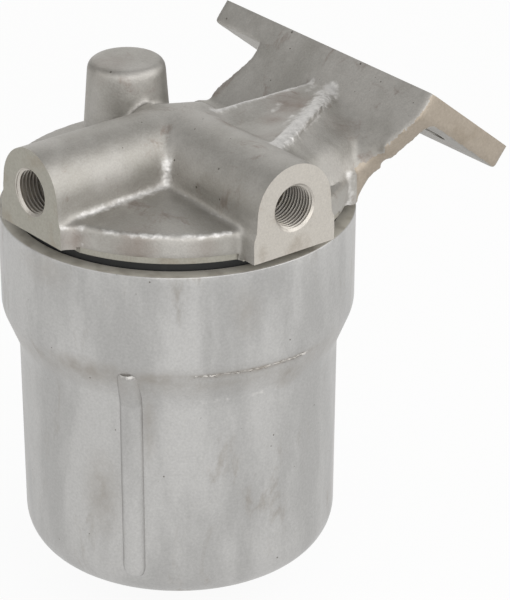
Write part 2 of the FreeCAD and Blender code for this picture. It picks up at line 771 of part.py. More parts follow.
def make_cap(label, hole, face, way):
    """A pressed end cap whose lip turns over the media. The way is 1 for the lower cap, -1 for the upper."""
    body = new_body(label)
    inner = "(element_radius - cap_thickness)"
    revolve(body, "dish", [
        (hole, face),
        ("element_radius", face),
        ("element_radius", f"{face} + {way} * cap_lip_height"),
        (inner, f"{face} + {way} * cap_lip_height"),
        (inner, f"{face} + {way} * cap_thickness"),
        (hole, f"{face} + {way} * cap_thickness"),
    ])


def make_grommet(label, inner, cap_foot):
    """A rubber grommet whose groove grips the edge of an end cap's hole."""
    body = new_body(label)
    outer = f"({inner} + grommet_thickness)"
    waist = f"({outer} - grommet_bite)"
    cap_top = f"({cap_foot} + cap_thickness)"
    revolve(body, "spool", [
        (inner, f"{cap_foot} - cap_thickness"),
        (outer, f"{cap_foot} - cap_thickness"),
        (outer, cap_foot),
        (waist, cap_foot),
        (waist, cap_top),
        (outer, cap_top),
        (outer, f"{cap_top} + cap_thickness"),
        (inner, f"{cap_top} + cap_thickness"),
    ])


def make_core():
    """Perforated tube that keeps the pleats from collapsing."""
    foot = f"({LOWER_CAP} + cap_thickness)"
    body = make_ring("element_core", "core_radius - core_wall", "core_radius", foot, UPPER_CAP)
    pitch = f"(({UPPER_CAP} - {foot}) / (core_hole_rows + 1))"
    hole = circle(new_sketch(body, "hole", "XZ_Plane"), "0", f"{foot} + {pitch}", "core_hole_radius")
    pocket = body.newObject("PartDesign::Pocket", "hole_pair")
    pocket.Profile = hole
    pocket.Type = 1
    pocket.Midplane = True
    finish_step(body, pocket, True)
    pattern = body.newObject("PartDesign::MultiTransform", "holes")
    pattern.Originals = [pocket]
    rows = body.newObject("PartDesign::LinearPattern", "hole_rows")
    rows.Direction = (plane(body, "Z_Axis"), [""])
    rows.setExpression("Length", cells(f"{pitch} * (core_hole_rows - 1)"))
    rows.setExpression("Occurrences", cells("core_hole_rows"))
    rounds = body.newObject("PartDesign::PolarPattern", "hole_rounds")
    rounds.Axis = (plane(body, "Z_Axis"), [""])
    rounds.setExpression("Angle", cells("180 - 180 / core_hole_pairs"))
    rounds.setExpression("Occurrences", cells("core_hole_pairs"))
    pattern.Transformations = [rows, rounds]
    body.Tip = pattern
    finish_step(body, pattern, True)


def make_media():
    """Pleated sheet, folded to and fro between the core and the caps' lips."""
    count = int(number("pleat_count"))
    inner = number("core_radius + fit_clearance")
    outer = inner + number("pleat_depth")
    sheet_gap = number("pleat_sheet")
    foot = number(f"{LOWER_CAP} + cap_thickness")
    top = number(UPPER_CAP)

    def ring(valley, crest, shift):
        spots = []
        for step in range(2 * count):
            angle = math.pi * step / count
            radius = crest if step % 2 else valley
            spots.append(Vector((radius + shift) * math.cos(angle), (radius + shift) * math.sin(angle), foot))
        return Part.Face(Part.Wire(Part.makePolygon(spots + spots[:1])))
    fold = sheet_gap * (outer - inner) / (math.pi * inner / count)
    outside = ring(inner + fold / 2, outer, 0)
    inside = ring(inner, outer - fold / 2, 0)
    solid = outside.cut(inside).extrude(Vector(0, 0, top - foot))
    media = doc.addObject("Part::Feature", "element_media")
    media.Label = "element_media"
    media.Shape = solid.Solids[0]
    media.Placement = Placement(Vector(0, -number(FACE_AWAY), -number(FACE_HEIGHT)), Rotation())


# Bypass valve in the knob

def make_bypass():
    def over_knob(body):
        body.setExpression("Placement.Base.x", cells("0 - knob_place"))
        return body
    seat = new_body("bypass_seat")
    over_knob(seat)
    outer = "(valve_bore_radius - assembly_clearance)"
    revolve(seat, "seat", [
        ("valve_seat_bore + valve_seat_chamfer", VALVE_SEAT),
        (outer, VALVE_SEAT),
        (outer, VALVE_FACE),
        ("valve_seat_bore", VALVE_FACE),
        ("valve_seat_bore", f"{VALVE_SEAT} + valve_seat_chamfer"),
    ])
    keeper = make_open_ring("bypass_keeper", "(valve_bore_radius + valve_keeper_bite - valve_keeper_width)",
                            "(valve_bore_radius + valve_keeper_bite)", VALVE_KEEPER, VALVE_SEAT,
                            "(valve_bore_radius / 2)")
    over_knob(keeper)
    poppet = new_body("bypass_poppet")
    over_knob(poppet)
    poppet_top = f"({VALVE_FACE} + poppet_thickness)"
    revolve(poppet, "disc", [
        ("0", VALVE_FACE),
        ("poppet_radius", VALVE_FACE),
        ("poppet_radius", poppet_top),
        ("poppet_pin_radius", poppet_top),
        ("poppet_pin_radius - poppet_pin_draft", f"{poppet_top} + poppet_pin_height"),
        ("0", f"{poppet_top} + poppet_pin_height"),
    ])
    reach = "(valve_seat_bore - fit_clearance)"
    half = "(poppet_wing_width / 2)"
    wings = outline(new_sketch(poppet, "wing_cross", "XY_Plane", (None, None, VALVE_FACE)), [
        (reach, half), (half, half), (half, reach), (f"0 - {half}", reach), (f"0 - {half}", half),
        (f"0 - {reach}", half), (f"0 - {reach}", f"0 - {half}"), (f"0 - {half}", f"0 - {half}"),
        (f"0 - {half}", f"0 - {reach}"), (half, f"0 - {reach}"), (half, f"0 - {half}"),
        (reach, f"0 - {half}"),
    ])
    extrude(poppet, "wings", wings, "valve_seat_height - fit_clearance", reverse=True)
    spring = make_spring("bypass_spring", "valve_spring_radius", "valve_wire_radius", poppet_top,
                         "valve_bore_top", "valve_spring_turns")
    over_knob(spring)


def main():
    make_head()
    make_bowl()
    make_ring("bowl_seal", SEAL_INNER, SEAL_OUTER, "0 - seal_ledge_depth", "head_gap")
    make_bolt()
    make_element()
    make_bypass()


def save_parts():
    """Check every object, and write one file for each sub-part."""
    doc.recompute()
    for item in doc.Objects:
        if "Invalid" in item.State or "Error" in item.State:
            raise ValueError(f"{item.Name}: {item.State}")
    parts = [item for item in doc.Objects if item.TypeId in ("PartDesign::Body", "Part::Feature")]
    for item in parts:
        shape = item.Shape
        if shape.isNull() or not shape.isValid() or len(shape.Solids) != 1:
            raise ValueError(f"{item.Label}: not one valid solid")
    os.makedirs("parts", exist_ok=True)
    for item in parts:
        item.Shape.exportStep(f"parts/{item.Label}.step")
        print(item.Label, round(item.Shape.Volume))


main()
save_parts()
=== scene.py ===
import json
import math

import bpy
from mathutils import Matrix, Vector

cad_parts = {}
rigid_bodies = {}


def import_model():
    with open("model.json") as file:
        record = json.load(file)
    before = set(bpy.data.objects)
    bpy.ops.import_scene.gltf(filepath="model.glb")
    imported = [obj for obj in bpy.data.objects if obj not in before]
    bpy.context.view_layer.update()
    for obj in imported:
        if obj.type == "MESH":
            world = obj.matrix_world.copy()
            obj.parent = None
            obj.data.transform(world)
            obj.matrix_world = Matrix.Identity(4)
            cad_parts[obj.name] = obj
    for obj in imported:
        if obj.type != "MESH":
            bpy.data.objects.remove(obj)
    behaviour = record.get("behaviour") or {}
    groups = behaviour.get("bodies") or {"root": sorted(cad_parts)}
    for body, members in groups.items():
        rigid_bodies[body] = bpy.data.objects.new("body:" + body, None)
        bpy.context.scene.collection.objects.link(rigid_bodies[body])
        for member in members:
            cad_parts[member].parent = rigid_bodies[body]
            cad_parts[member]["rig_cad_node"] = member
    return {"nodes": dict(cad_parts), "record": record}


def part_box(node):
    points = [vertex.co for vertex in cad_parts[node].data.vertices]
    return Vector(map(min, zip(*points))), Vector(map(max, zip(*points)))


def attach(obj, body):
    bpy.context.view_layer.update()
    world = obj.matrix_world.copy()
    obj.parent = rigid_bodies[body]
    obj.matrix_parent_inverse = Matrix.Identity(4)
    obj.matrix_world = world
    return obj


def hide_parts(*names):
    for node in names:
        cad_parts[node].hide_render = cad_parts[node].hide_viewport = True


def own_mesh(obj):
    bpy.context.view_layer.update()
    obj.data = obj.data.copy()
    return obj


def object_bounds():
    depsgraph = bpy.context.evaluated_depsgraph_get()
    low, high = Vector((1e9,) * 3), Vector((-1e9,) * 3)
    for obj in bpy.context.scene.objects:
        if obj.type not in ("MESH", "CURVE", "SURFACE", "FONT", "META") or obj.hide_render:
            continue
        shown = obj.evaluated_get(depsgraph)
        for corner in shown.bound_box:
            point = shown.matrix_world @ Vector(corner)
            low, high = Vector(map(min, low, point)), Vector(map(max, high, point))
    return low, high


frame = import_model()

# A hydraulic filter: a cast aluminium head with two tapped ports and a mounting pad, and the bowl under it.
# The head is shaped further from the frame's solid, the bowl is turned afresh, and the other pieces keep
# their shapes and get their finish.
cad_low, cad_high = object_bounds()

MM = 0.001
UP, DOWN = Vector((0, 0, 1)), Vector((0, 0, -1))
MOUNTS = {mount["name"]: mount for mount in frame["record"]["mounts"]}
head_low, head_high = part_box("head_casting")
bowl_low, bowl_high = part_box("bowl")

# Sizes in millimetres that the frame doesn't give.
PORT_HEIGHT = 24.0
RIM_TOP_DEPTH = 1.6
HEAD_GAP = 2.9
REGISTER_TOP = 6.0
REGISTER_RADIUS = 73.6
PORT_RADIUS = 10.48
PORT_DEPTH = 20.0
PORT_CREST = 9.32
THREAD_PITCH = 1.814
GALLERY_RADIUS = 7.5
FOOT_HALF_WIDTH = 21.4
RIGHT_FOOT_LEVEL = 3.8
LEFT_FOOT_LEVEL = 4.8
DISC_BACK_LEVEL = 11.2
KNOB_PLACE = -35.7
HOLE_RADIUS = 5.5
PAD_THICKNESS = 11.2
WEB_RIGHT_WAIST = 56.0

# The bowl's axis and the level just over its rim, which every place below is measured from, and the faces
# of the head.
AXIS_Y = (bowl_low.y + bowl_high.y) / 2
PORT_Z = MOUNTS["port_right"]["pos_m"][2]
RIM_Z = PORT_Z - PORT_HEIGHT * MM
RIGHT_FACE = head_high.x
LEFT_FACE = head_low.y
PAD_NORMAL = Vector(MOUNTS["bracket_face"]["axis"])


def place(across, away, up):
    """A point given in millimetres about the bowl's axis, with height 0 just over the bowl's rim."""
    return Vector((across * MM, AXIS_Y + away * MM, RIM_Z + up * MM))


# Making and shaping meshes

def select_only(*pieces):
    bpy.ops.object.select_all(action="DESELECT")
    for piece in pieces:
        piece.select_set(True)
    bpy.context.view_layer.objects.active = pieces[0]


def edit(piece, kind="FACE"):
    select_only(piece)
    bpy.ops.object.mode_set(mode="EDIT")
    bpy.ops.mesh.select_mode(type=kind)
    bpy.ops.mesh.select_all(action="SELECT")


def pick(piece, kind, test):
    """In edit mode, selects the faces or vertices that pass the test."""
    bpy.ops.mesh.select_mode(type=kind)
    bpy.ops.mesh.select_all(action="DESELECT")
    bpy.ops.object.mode_set(mode="OBJECT")
    for part in piece.data.polygons if kind == "FACE" else piece.data.vertices:
        part.select = test(part)
    bpy.ops.object.mode_set(mode="EDIT")


def done():
    bpy.ops.object.mode_set(mode="OBJECT")


def apply(piece, kind, **settings):
    """Adds a modifier with its settings and applies it."""
    select_only(piece)
    bpy.ops.object.modifier_add(type=kind)
    modifier = piece.modifiers[-1]
    for name, value in settings.items():
        setattr(modifier, name, value)
    bpy.ops.object.modifier_apply(modifier=modifier.name)


def clean(piece, distance=0.005):
    """Merges doubled vertices and turns every face outwards."""
    edit(piece)
    bpy.ops.mesh.remove_doubles(threshold=distance * MM)
    bpy.ops.mesh.select_all(action="SELECT")
    bpy.ops.mesh.normals_make_consistent(inside=False)
    done()


def settle(piece):
    """Puts the piece's place and turn into its mesh."""
    select_only(piece)
    bpy.ops.object.transform_apply(location=True, rotation=True, scale=True)


def join(piece, *others):
    select_only(piece, *others)
    bpy.ops.object.join()


def cut(piece, tool):
    apply(piece, "BOOLEAN", object=tool, operation="DIFFERENCE", solver="EXACT")
    select_only(tool)
    bpy.ops.object.delete()


def copy_node(node, name):
    """A merged copy of a CAD node, to shape further."""
    select_only(frame["nodes"][node])
    bpy.ops.object.duplicate()
    piece = bpy.context.object
    piece.name = name
    del piece["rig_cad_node"]
    bpy.ops.object.parent_clear(type="CLEAR_KEEP_TRANSFORM")
    bpy.ops.mesh.customdata_custom_splitnormals_clear()
    piece.data.materials.clear()
    edit(piece)
    bpy.ops.mesh.remove_doubles(threshold=0.002 * MM)
    done()
    return piece


def turned(name, foot, direction, profile, segments=96):
    """A turned solid: a disc is extruded along the direction and resized at each (distance, radius)."""
    direction = Vector(direction)
    first, radius = profile[0]
    bpy.ops.object.select_all(action="DESELECT")
    bpy.ops.mesh.primitive_circle_add(
        vertices=segments, radius=radius * MM, fill_type="NGON",
        location=foot + direction * first * MM, rotation=direction.to_track_quat("Z", "Y").to_euler())
    piece = bpy.context.object
    piece.name = name
    settle(piece)
    edit(piece)
    for distance, width in profile[1:]:
        step = direction * (distance - first) * MM
        bpy.ops.mesh.extrude_region_move(TRANSFORM_OT_translate={"value": step})
        scale = width / radius
        bpy.ops.transform.resize(
            value=(scale, scale, scale), center_override=foot + direction * distance * MM)
        first, radius = distance, width
    done()
    clean(piece)
    return piece


def drawn_line(name, points):
    """A line of vertices, drawn by extruding one point after another."""
    bpy.ops.object.select_all(action="DESELECT")
    bpy.ops.mesh.primitive_plane_add(size=MM, location=points[0])
    piece = bpy.context.object
    piece.name = name
    settle(piece)
    edit(piece, "VERT")
    bpy.ops.mesh.merge(type="CENTER")
    for start, end in zip(points, points[1:]):
        bpy.ops.mesh.extrude_vertices_move(TRANSFORM_OT_translate={"value": end - start})
    done()
    return piece


def block(name, low, high):
    """A block between two corners, given in millimetres as places are."""
    low, high = place(*low), place(*high)
    bpy.ops.object.select_all(action="DESELECT")
    bpy.ops.mesh.primitive_cube_add(size=1, location=(low + high) / 2, scale=high - low)
    piece = bpy.context.object
    piece.name = name
    settle(piece)
    return piece


def hull(name, corners):
    """A block whose eight corners are moved to places. They go by x, then y, then z, each low before high."""
    piece = block(name, corners[0], corners[-1])
    edit(piece, "VERT")
    for index, corner in enumerate(corners):
        pick(piece, "VERT", lambda v: v.index == index)
        bpy.ops.transform.translate(value=place(*corner) - piece.data.vertices[index].co)
    done()
    clean(piece)
    return piece


def near(value, target, reach=0.05):
    return abs(value - target) < reach * MM


# Materials

def linear(code, alpha=1.0):
    """An sRGB hex colour as the linear values that a shader takes."""
    parts = [int(code[i:i + 2], 16) / 255 for i in (1, 3, 5)]
    return [c / 12.92 if c <= 0.04045 else ((c + 0.055) / 1.055) ** 2.4 for c in parts] + [alpha]


def per_mm(size):
    """The scale of a noise or cell texture whose features are this many millimetres wide."""
    return 1 / (size * MM)


# A Mix node's sockets share their names between numbers, vectors and colours. These are the ones for colours.
SHARE, FIRST, SECOND = 0, 6, 7
MIXED = 2


def add_node(tree, kind, inputs=None, **settings):
    """Adds a node, sets its properties, and sets or links its inputs, which go by name or number."""
    node = tree.nodes.new(kind)
    for name, value in settings.items():
        setattr(node, name, value)
    for name, value in (inputs or {}).items():
        socket = node.inputs[name]
        if isinstance(value, bpy.types.NodeSocket):
            tree.links.new(value, socket)
        else:
            socket.default_value = value
    return node


def new_material(name):
    """A material whose node tree is still empty."""
    material = bpy.data.materials.new(name)
    material.use_nodes = True
    tree = material.node_tree
    tree.nodes.clear()
    return material, tree


# Sand-cast aluminium, tumbled and not machined: a satin, faintly mottled light grey with a fine grain that
# glints, small dark gas pits, and brownish stains where handling and oil have reached it. Where the highlight
# attribute is high, a painted highlight lies along the edge: the colour is paler and flecked with painted
# glints, over a coarse hammered bump. The darkening attribute turns the colour darker and browner: dirt in
# places, painted shade in others. The grain is drawn a little coarser than the sand's, so that it shows.
def cast_aluminium(name, light, dark, stain_and_shade, grain_size, grain_depth, pits, roughness, drag):
    material, tree = new_material(name)
    coords = add_node(tree, "ShaderNodeTexCoord").outputs["Object"]
    dragged = add_node(tree, "ShaderNodeMapping", {"Vector": coords, "Scale": drag}).outputs[0]
    cloud = add_node(tree, "ShaderNodeTexNoise", {
        "Vector": dragged, "Scale": per_mm(26), "Detail": 4.0, "Roughness": 0.6})
    cloud_share = add_node(tree, "ShaderNodeMapRange", {
        "Value": cloud.outputs[0], "From Min": 0.36, "From Max": 0.64}, interpolation_type="SMOOTHSTEP")
    body = add_node(tree, "ShaderNodeMix", {
        SHARE: cloud_share.outputs[0], FIRST: linear(dark), SECOND: linear(light)}, data_type="RGBA")
    blotch = add_node(tree, "ShaderNodeTexNoise", {
        "Vector": dragged, "Scale": per_mm(17), "Detail": 5.0, "Roughness": 0.7, "Distortion": 0.6})
    blotch_share = add_node(tree, "ShaderNodeMapRange", {
        "Value": blotch.outputs[0], "From Min": 0.56, "From Max": 0.74, "To Max": 0.55},
        interpolation_type="SMOOTHSTEP")
    stained = add_node(tree, "ShaderNodeMix", {
        SHARE: blotch_share.outputs[0], FIRST: body.outputs[MIXED], SECOND: linear(stain_and_shade)}, data_type="RGBA")
    grain = add_node(tree, "ShaderNodeTexNoise", {
        "Vector": coords, "Scale": per_mm(grain_size), "Detail": 2.0, "Roughness": 0.6})
    grain_share = add_node(tree, "ShaderNodeMapRange", {
        "Value": grain.outputs[0], "From Min": 0.3, "From Max": 0.7, "To Min": 0.93, "To Max": 1.06})
    grained = add_node(tree, "ShaderNodeMix", {
        SHARE: 1.0, FIRST: stained.outputs[MIXED], SECOND: grain_share.outputs[0]},
        data_type="RGBA", blend_type="MULTIPLY")

    # Pits open in the middle of some cells, where a wider noise is high.
    cell = add_node(tree, "ShaderNodeTexVoronoi", {"Vector": coords, "Scale": per_mm(5.5), "Randomness": 1.0})
    chance = add_node(tree, "ShaderNodeTexNoise", {"Vector": coords, "Scale": per_mm(14), "Detail": 1.0})
    pit_size = add_node(tree, "ShaderNodeMapRange", {
        "Value": chance.outputs[0], "From Min": 0.5, "From Max": 0.72, "To Min": 0.0, "To Max": pits})
    pit = add_node(tree, "ShaderNodeMath", {0: cell.outputs["Distance"], 1: pit_size.outputs[0]},
                   operation="LESS_THAN")
    pitted = add_node(tree, "ShaderNodeMix", {
        SHARE: pit.outputs[0], FIRST: grained.outputs[MIXED], SECOND: linear("#736F69")}, data_type="RGBA")

    # Darkening in patches, from dirt and from painted shade, then the ragged edge of the painted highlight.
    soil_and_shade = add_node(tree, "ShaderNodeAttribute", attribute_name="soiled_and_shaded")
    patches = add_node(tree, "ShaderNodeTexNoise", {"Vector": coords, "Scale": per_mm(5), "Detail": 4.0})
    soil_and_shade_share = add_node(tree, "ShaderNodeMath", {0: soil_and_shade.outputs["Fac"], 1: patches.outputs[0]},
                          operation="MULTIPLY")
    # Darker and browner: dirt, and painted shade at some of the marked places.
    soiled_and_shaded = add_node(tree, "ShaderNodeMix", {
        SHARE: soil_and_shade_share.outputs[0], FIRST: pitted.outputs[MIXED], SECOND: linear(stain_and_shade)}, data_type="RGBA")
    highlight_and_dressing_mask = add_node(tree, "ShaderNodeAttribute", attribute_name="highlight_and_dressing")
    ragged = add_node(tree, "ShaderNodeTexNoise", {
        "Vector": coords, "Scale": per_mm(3.2), "Detail": 3.0, "Roughness": 0.55})
    edge = add_node(tree, "ShaderNodeMath", {0: highlight_and_dressing_mask.outputs["Fac"], 1: ragged.outputs[0]}, operation="ADD")
    highlight_and_dressing_share = add_node(tree, "ShaderNodeMapRange", {
        "Value": edge.outputs[0], "From Min": 0.76, "From Max": 1.22}, interpolation_type="SMOOTHSTEP")
    hammer = add_node(tree, "ShaderNodeTexVoronoi", {
        "Vector": coords, "Scale": per_mm(1.7), "Randomness": 1.0}, feature="SMOOTH_F1")
    painted_glint = add_node(tree, "ShaderNodeMapRange", {
        "Value": ragged.outputs[0], "From Min": 0.35, "From Max": 0.65, "To Min": 0.9, "To Max": 1.06})
    # Painted highlight: a pale colour, made lighter and darker at random as painted glints.
    highlight_colour = add_node(tree, "ShaderNodeMix", {
        SHARE: 1.0, FIRST: linear("#D2D0CD"), SECOND: painted_glint.outputs[0]},
        data_type="RGBA", blend_type="MULTIPLY")
    highlight_and_dressing = add_node(tree, "ShaderNodeMix", {
        SHARE: highlight_and_dressing_share.outputs[0], FIRST: soiled_and_shaded.outputs[MIXED], SECOND: highlight_colour.outputs[MIXED]},
        data_type="RGBA")

    # Bumps: the skin swells a little, the grain lies on that, and where the highlight is painted the edge is
    # hammered.
    swell = add_node(tree, "ShaderNodeTexNoise", {"Vector": coords, "Scale": per_mm(9), "Detail": 3.0})
    swell_bump = add_node(tree, "ShaderNodeBump", {
        "Height": swell.outputs[0], "Strength": 0.6, "Distance": 0.5 * MM})
    grain_bump = add_node(tree, "ShaderNodeBump", {
        "Height": grain.outputs[0], "Strength": 0.7, "Distance": grain_depth * MM,
        "Normal": swell_bump.outputs[0]})
    dress_bump = add_node(tree, "ShaderNodeBump", {
        "Height": hammer.outputs["Distance"], "Strength": highlight_and_dressing_share.outputs[0], "Distance": 0.45 * MM,
        "Normal": grain_bump.outputs[0]})
    rough = add_node(tree, "ShaderNodeMapRange", {
        "Value": cloud.outputs[0], "From Min": 0.3, "From Max": 0.7,
        "To Min": roughness - 0.06, "To Max": roughness + 0.06})
    shader = add_node(tree, "ShaderNodeBsdfPrincipled", {
        "Base Color": highlight_and_dressing.outputs[MIXED], "Metallic": 1.0, "Roughness": rough.outputs[0],
        "Normal": dress_bump.outputs[0]})
    add_node(tree, "ShaderNodeOutputMaterial", {"Surface": shader.outputs[0]})
    return material


# Milled or turned aluminium: paler and warmer than the casting's skin, with fine marks left by the tool and
# duller, browner patches where it has been handled. The marks are drawn wider than they are, so that they
# show.
def milled_aluminium(name, colour, mark_width, roughness):
    material, tree = new_material(name)
    coords = add_node(tree, "ShaderNodeTexCoord").outputs["Object"]
    marks = add_node(tree, "ShaderNodeTexNoise", {
        "Vector": coords, "Scale": per_mm(mark_width), "Detail": 3.0, "Roughness": 0.7})
    share = add_node(tree, "ShaderNodeMapRange", {
        "Value": marks.outputs[0], "From Min": 0.3, "From Max": 0.7, "To Min": 0.88, "To Max": 1.06})
    worn = add_node(tree, "ShaderNodeTexNoise", {"Vector": coords, "Scale": per_mm(12), "Detail": 4.0})
    worn_share = add_node(tree, "ShaderNodeMapRange", {
        "Value": worn.outputs[0], "From Min": 0.5, "From Max": 0.75, "To Max": 0.5},
        interpolation_type="SMOOTHSTEP")
    body = add_node(tree, "ShaderNodeMix", {
        SHARE: worn_share.outputs[0], FIRST: linear(colour), SECOND: linear("#94897A")}, data_type="RGBA")
    marked = add_node(tree, "ShaderNodeMix", {
        SHARE: 1.0, FIRST: body.outputs[MIXED], SECOND: share.outputs[0]},
        data_type="RGBA", blend_type="MULTIPLY")
    bump = add_node(tree, "ShaderNodeBump", {
        "Height": marks.outputs[0], "Strength": 0.4, "Distance": 0.05 * MM})
    shader = add_node(tree, "ShaderNodeBsdfPrincipled", {
        "Base Color": marked.outputs[MIXED], "Metallic": 1.0, "Roughness": roughness,
        "Normal": bump.outputs[0]})
    add_node(tree, "ShaderNodeOutputMaterial", {"Surface": shader.outputs[0]})
    return material


# A turned seat that oil and handling have dulled: it scatters most of the light, and grime darkens it in
# patches.
def dull_aluminium(name, colour):
    material, tree = new_material(name)
    coords = add_node(tree, "ShaderNodeTexCoord").outputs["Object"]
    grime = add_node(tree, "ShaderNodeTexNoise", {"Vector": coords, "Scale": per_mm(7), "Detail": 5.0})
    share = add_node(tree, "ShaderNodeMapRange", {
        "Value": grime.outputs[0], "From Min": 0.45, "From Max": 0.72, "To Max": 0.45},
        interpolation_type="SMOOTHSTEP")
    body = add_node(tree, "ShaderNodeMix", {
        SHARE: share.outputs[0], FIRST: linear(colour), SECOND: linear("#7F776B")}, data_type="RGBA")
    shader = add_node(tree, "ShaderNodeBsdfPrincipled", {
        "Base Color": body.outputs[MIXED], "Metallic": 0.3, "Roughness": 0.62})
    add_node(tree, "ShaderNodeOutputMaterial", {"Surface": shader.outputs[0]})
    return material


# Moulded nitrile rubber: near black, with a soft sheen and a dusting of pale handling marks. Its skin is
# drawn coarser than it is, so that it shows.
def moulded_rubber(name):
    material, tree = new_material(name)
    coords = add_node(tree, "ShaderNodeTexCoord").outputs["Object"]
    dust = add_node(tree, "ShaderNodeTexNoise", {"Vector": coords, "Scale": per_mm(6), "Detail": 5.0})
    share = add_node(tree, "ShaderNodeMapRange", {
        "Value": dust.outputs[0], "From Min": 0.55, "From Max": 0.8, "To Max": 0.35})
    colour = add_node(tree, "ShaderNodeMix", {
        SHARE: share.outputs[0], FIRST: linear("#191A1B"), SECOND: linear("#3A3A38")}, data_type="RGBA")
    skin = add_node(tree, "ShaderNodeTexNoise", {"Vector": coords, "Scale": per_mm(0.8), "Detail": 2.0})
    bump = add_node(tree, "ShaderNodeBump", {
        "Height": skin.outputs[0], "Strength": 0.4, "Distance": 0.04 * MM})
    shader = add_node(tree, "ShaderNodeBsdfPrincipled", {
        "Base Color": colour.outputs[MIXED], "Roughness": 0.5, "IOR": 1.52, "Normal": bump.outputs[0]})
    add_node(tree, "ShaderNodeOutputMaterial", {"Surface": shader.outputs[0]})
    return material


# A drawn, rolled or plated metal: one even colour that a few dull patches and a fine grain break up. The
# grain is drawn coarser than it is, so that it shows.
def plain_metal(name, light, dark, roughness, patch_size=8.0):
    material, tree = new_material(name)
    coords = add_node(tree, "ShaderNodeTexCoord").outputs["Object"]
    patch = add_node(tree, "ShaderNodeTexNoise", {
        "Vector": coords, "Scale": per_mm(patch_size), "Detail": 4.0, "Roughness": 0.65})
    share = add_node(tree, "ShaderNodeMapRange", {
        "Value": patch.outputs[0], "From Min": 0.35, "From Max": 0.68}, interpolation_type="SMOOTHSTEP")
    colour = add_node(tree, "ShaderNodeMix", {
        SHARE: share.outputs[0], FIRST: linear(light), SECOND: linear(dark)}, data_type="RGBA")
    grain = add_node(tree, "ShaderNodeTexNoise", {"Vector": coords, "Scale": per_mm(0.9), "Detail": 2.0})
    bump = add_node(tree, "ShaderNodeBump", {
        "Height": grain.outputs[0], "Strength": 0.4, "Distance": 0.03 * MM})
    rough = add_node(tree, "ShaderNodeMapRange", {
        "Value": patch.outputs[0], "From Min": 0.3, "From Max": 0.7,
        "To Min": roughness - 0.05, "To Max": roughness + 0.1})
    shader = add_node(tree, "ShaderNodeBsdfPrincipled", {
        "Base Color": colour.outputs[MIXED], "Metallic": 1.0, "Roughness": rough.outputs[0],
        "Normal": bump.outputs[0]})
    add_node(tree, "ShaderNodeOutputMaterial", {"Surface": shader.outputs[0]})
    return material


# Resin-soaked filter paper: a matt cream with a fibrous fleck, which is drawn coarser than the fibres so
# that it shows.
def filter_paper(name):
    material, tree = new_material(name)
    coords = add_node(tree, "ShaderNodeTexCoord").outputs["Object"]
    fibre = add_node(tree, "ShaderNodeTexNoise", {"Vector": coords, "Scale": per_mm(1.2), "Detail": 4.0})
    colour = add_node(tree, "ShaderNodeMix", {
        SHARE: fibre.outputs[0], FIRST: linear("#C9B98F"), SECOND: linear("#DDD2B0")}, data_type="RGBA")
    bump = add_node(tree, "ShaderNodeBump", {
        "Height": fibre.outputs[0], "Strength": 0.5, "Distance": 0.08 * MM})
    shader = add_node(tree, "ShaderNodeBsdfPrincipled", {
        "Base Color": colour.outputs[MIXED], "Roughness": 0.85, "Normal": bump.outputs[0]})
    add_node(tree, "ShaderNodeOutputMaterial", {"Surface": shader.outputs[0]})
    return material


# Camera

# The camera stands where the photograph's did: its distance and direction are from the rim's centre. The lens
# and the sensor are in millimetres, and the distances in metres.
CAMERA_DISTANCE = 1.6
CAMERA_TURN = math.radians(53.05)
CAMERA_RISE = math.radians(23.98)
CAMERA_YAW = math.radians(1.323)
CAMERA_PITCH = math.radians(25.562)
CAMERA_LENS = 221.44
CAMERA_SENSOR = 36
CAMERA_REACH = 20


def set_camera():
    """Places the camera, and returns the level directions across its view and away from it."""
    lateral = Vector((math.cos(CAMERA_TURN), math.sin(CAMERA_TURN), 0))
    away = Vector((-math.sin(CAMERA_TURN), math.cos(CAMERA_TURN), 0))
    eye = place(0, 0, 0) + CAMERA_DISTANCE * (-away * math.cos(CAMERA_RISE) + UP * math.sin(CAMERA_RISE))
    forward = (lateral * math.sin(CAMERA_YAW) * math.cos(CAMERA_PITCH)
               + away * math.cos(CAMERA_YAW) * math.cos(CAMERA_PITCH)
               - UP * math.sin(CAMERA_PITCH))
    right = forward.cross(UP).normalized()
    up = right.cross(forward)
    turn = Matrix((right, up, -forward)).transposed()
    bpy.ops.object.camera_add(location=eye, rotation=turn.to_euler())
    camera = bpy.context.object
    camera.name = "camera"
    camera.data.lens = CAMERA_LENS
    camera.data.sensor_width = CAMERA_SENSOR
    camera.data.clip_end = CAMERA_REACH
    bpy.context.scene.camera = camera
    return lateral, away


# Head

# Sizes in millimetres of the work on the casting. Before its skin is fused, all that is lower than a lift
# above its floor is cut off, the faces that will be milled get an excess, and the bores are plugged. A trim
# reaches past the whole head.
FACE_EXCESS = 4.0
PAD_EXCESS = 3.0
FLOOR_LIFT = 1.1
FLOOR_EXCESS = 5.0
PLUG_RADIUS = 11.4
HOLE_PLUG_RADIUS = 6.2
TRIM_REACH = 150.0
TRIM_DEPTH = 9.0
# How fine the skin is, and how often it is smoothed.
SKIN_VOXEL = 1.1
SKIN_PASSES = 8
# The hollow beside the gusset's right ridge is smoothed further, in this box but not this near the ridge.
FLANK_LOW, FLANK_HIGH = (20, 8, 17), (62, 69, 42)
FLANK_RIDGE_REACH = 4.6
FLANK_PASSES = 70
# The register's cut runs out to a radius, and leaves room round the feet and the web's post.
REGISTER_CUT_RADIUS = 96.0
REGISTER_SEGMENTS = 160
FOOT_ROOM = 0.6
FOOT_REACH = 110.0
# A port's tool, as distance and radius: the chamfer, the thread's crests and the oilway behind them.
PORT_PROFILE = (
    (-1, 11.2),
    (0, 10.7),
    (1.3, PORT_CREST),
    (PORT_DEPTH, PORT_CREST),
    (PORT_DEPTH + 0.01, GALLERY_RADIUS),
    (PORT_DEPTH + 8, GALLERY_RADIUS),
)
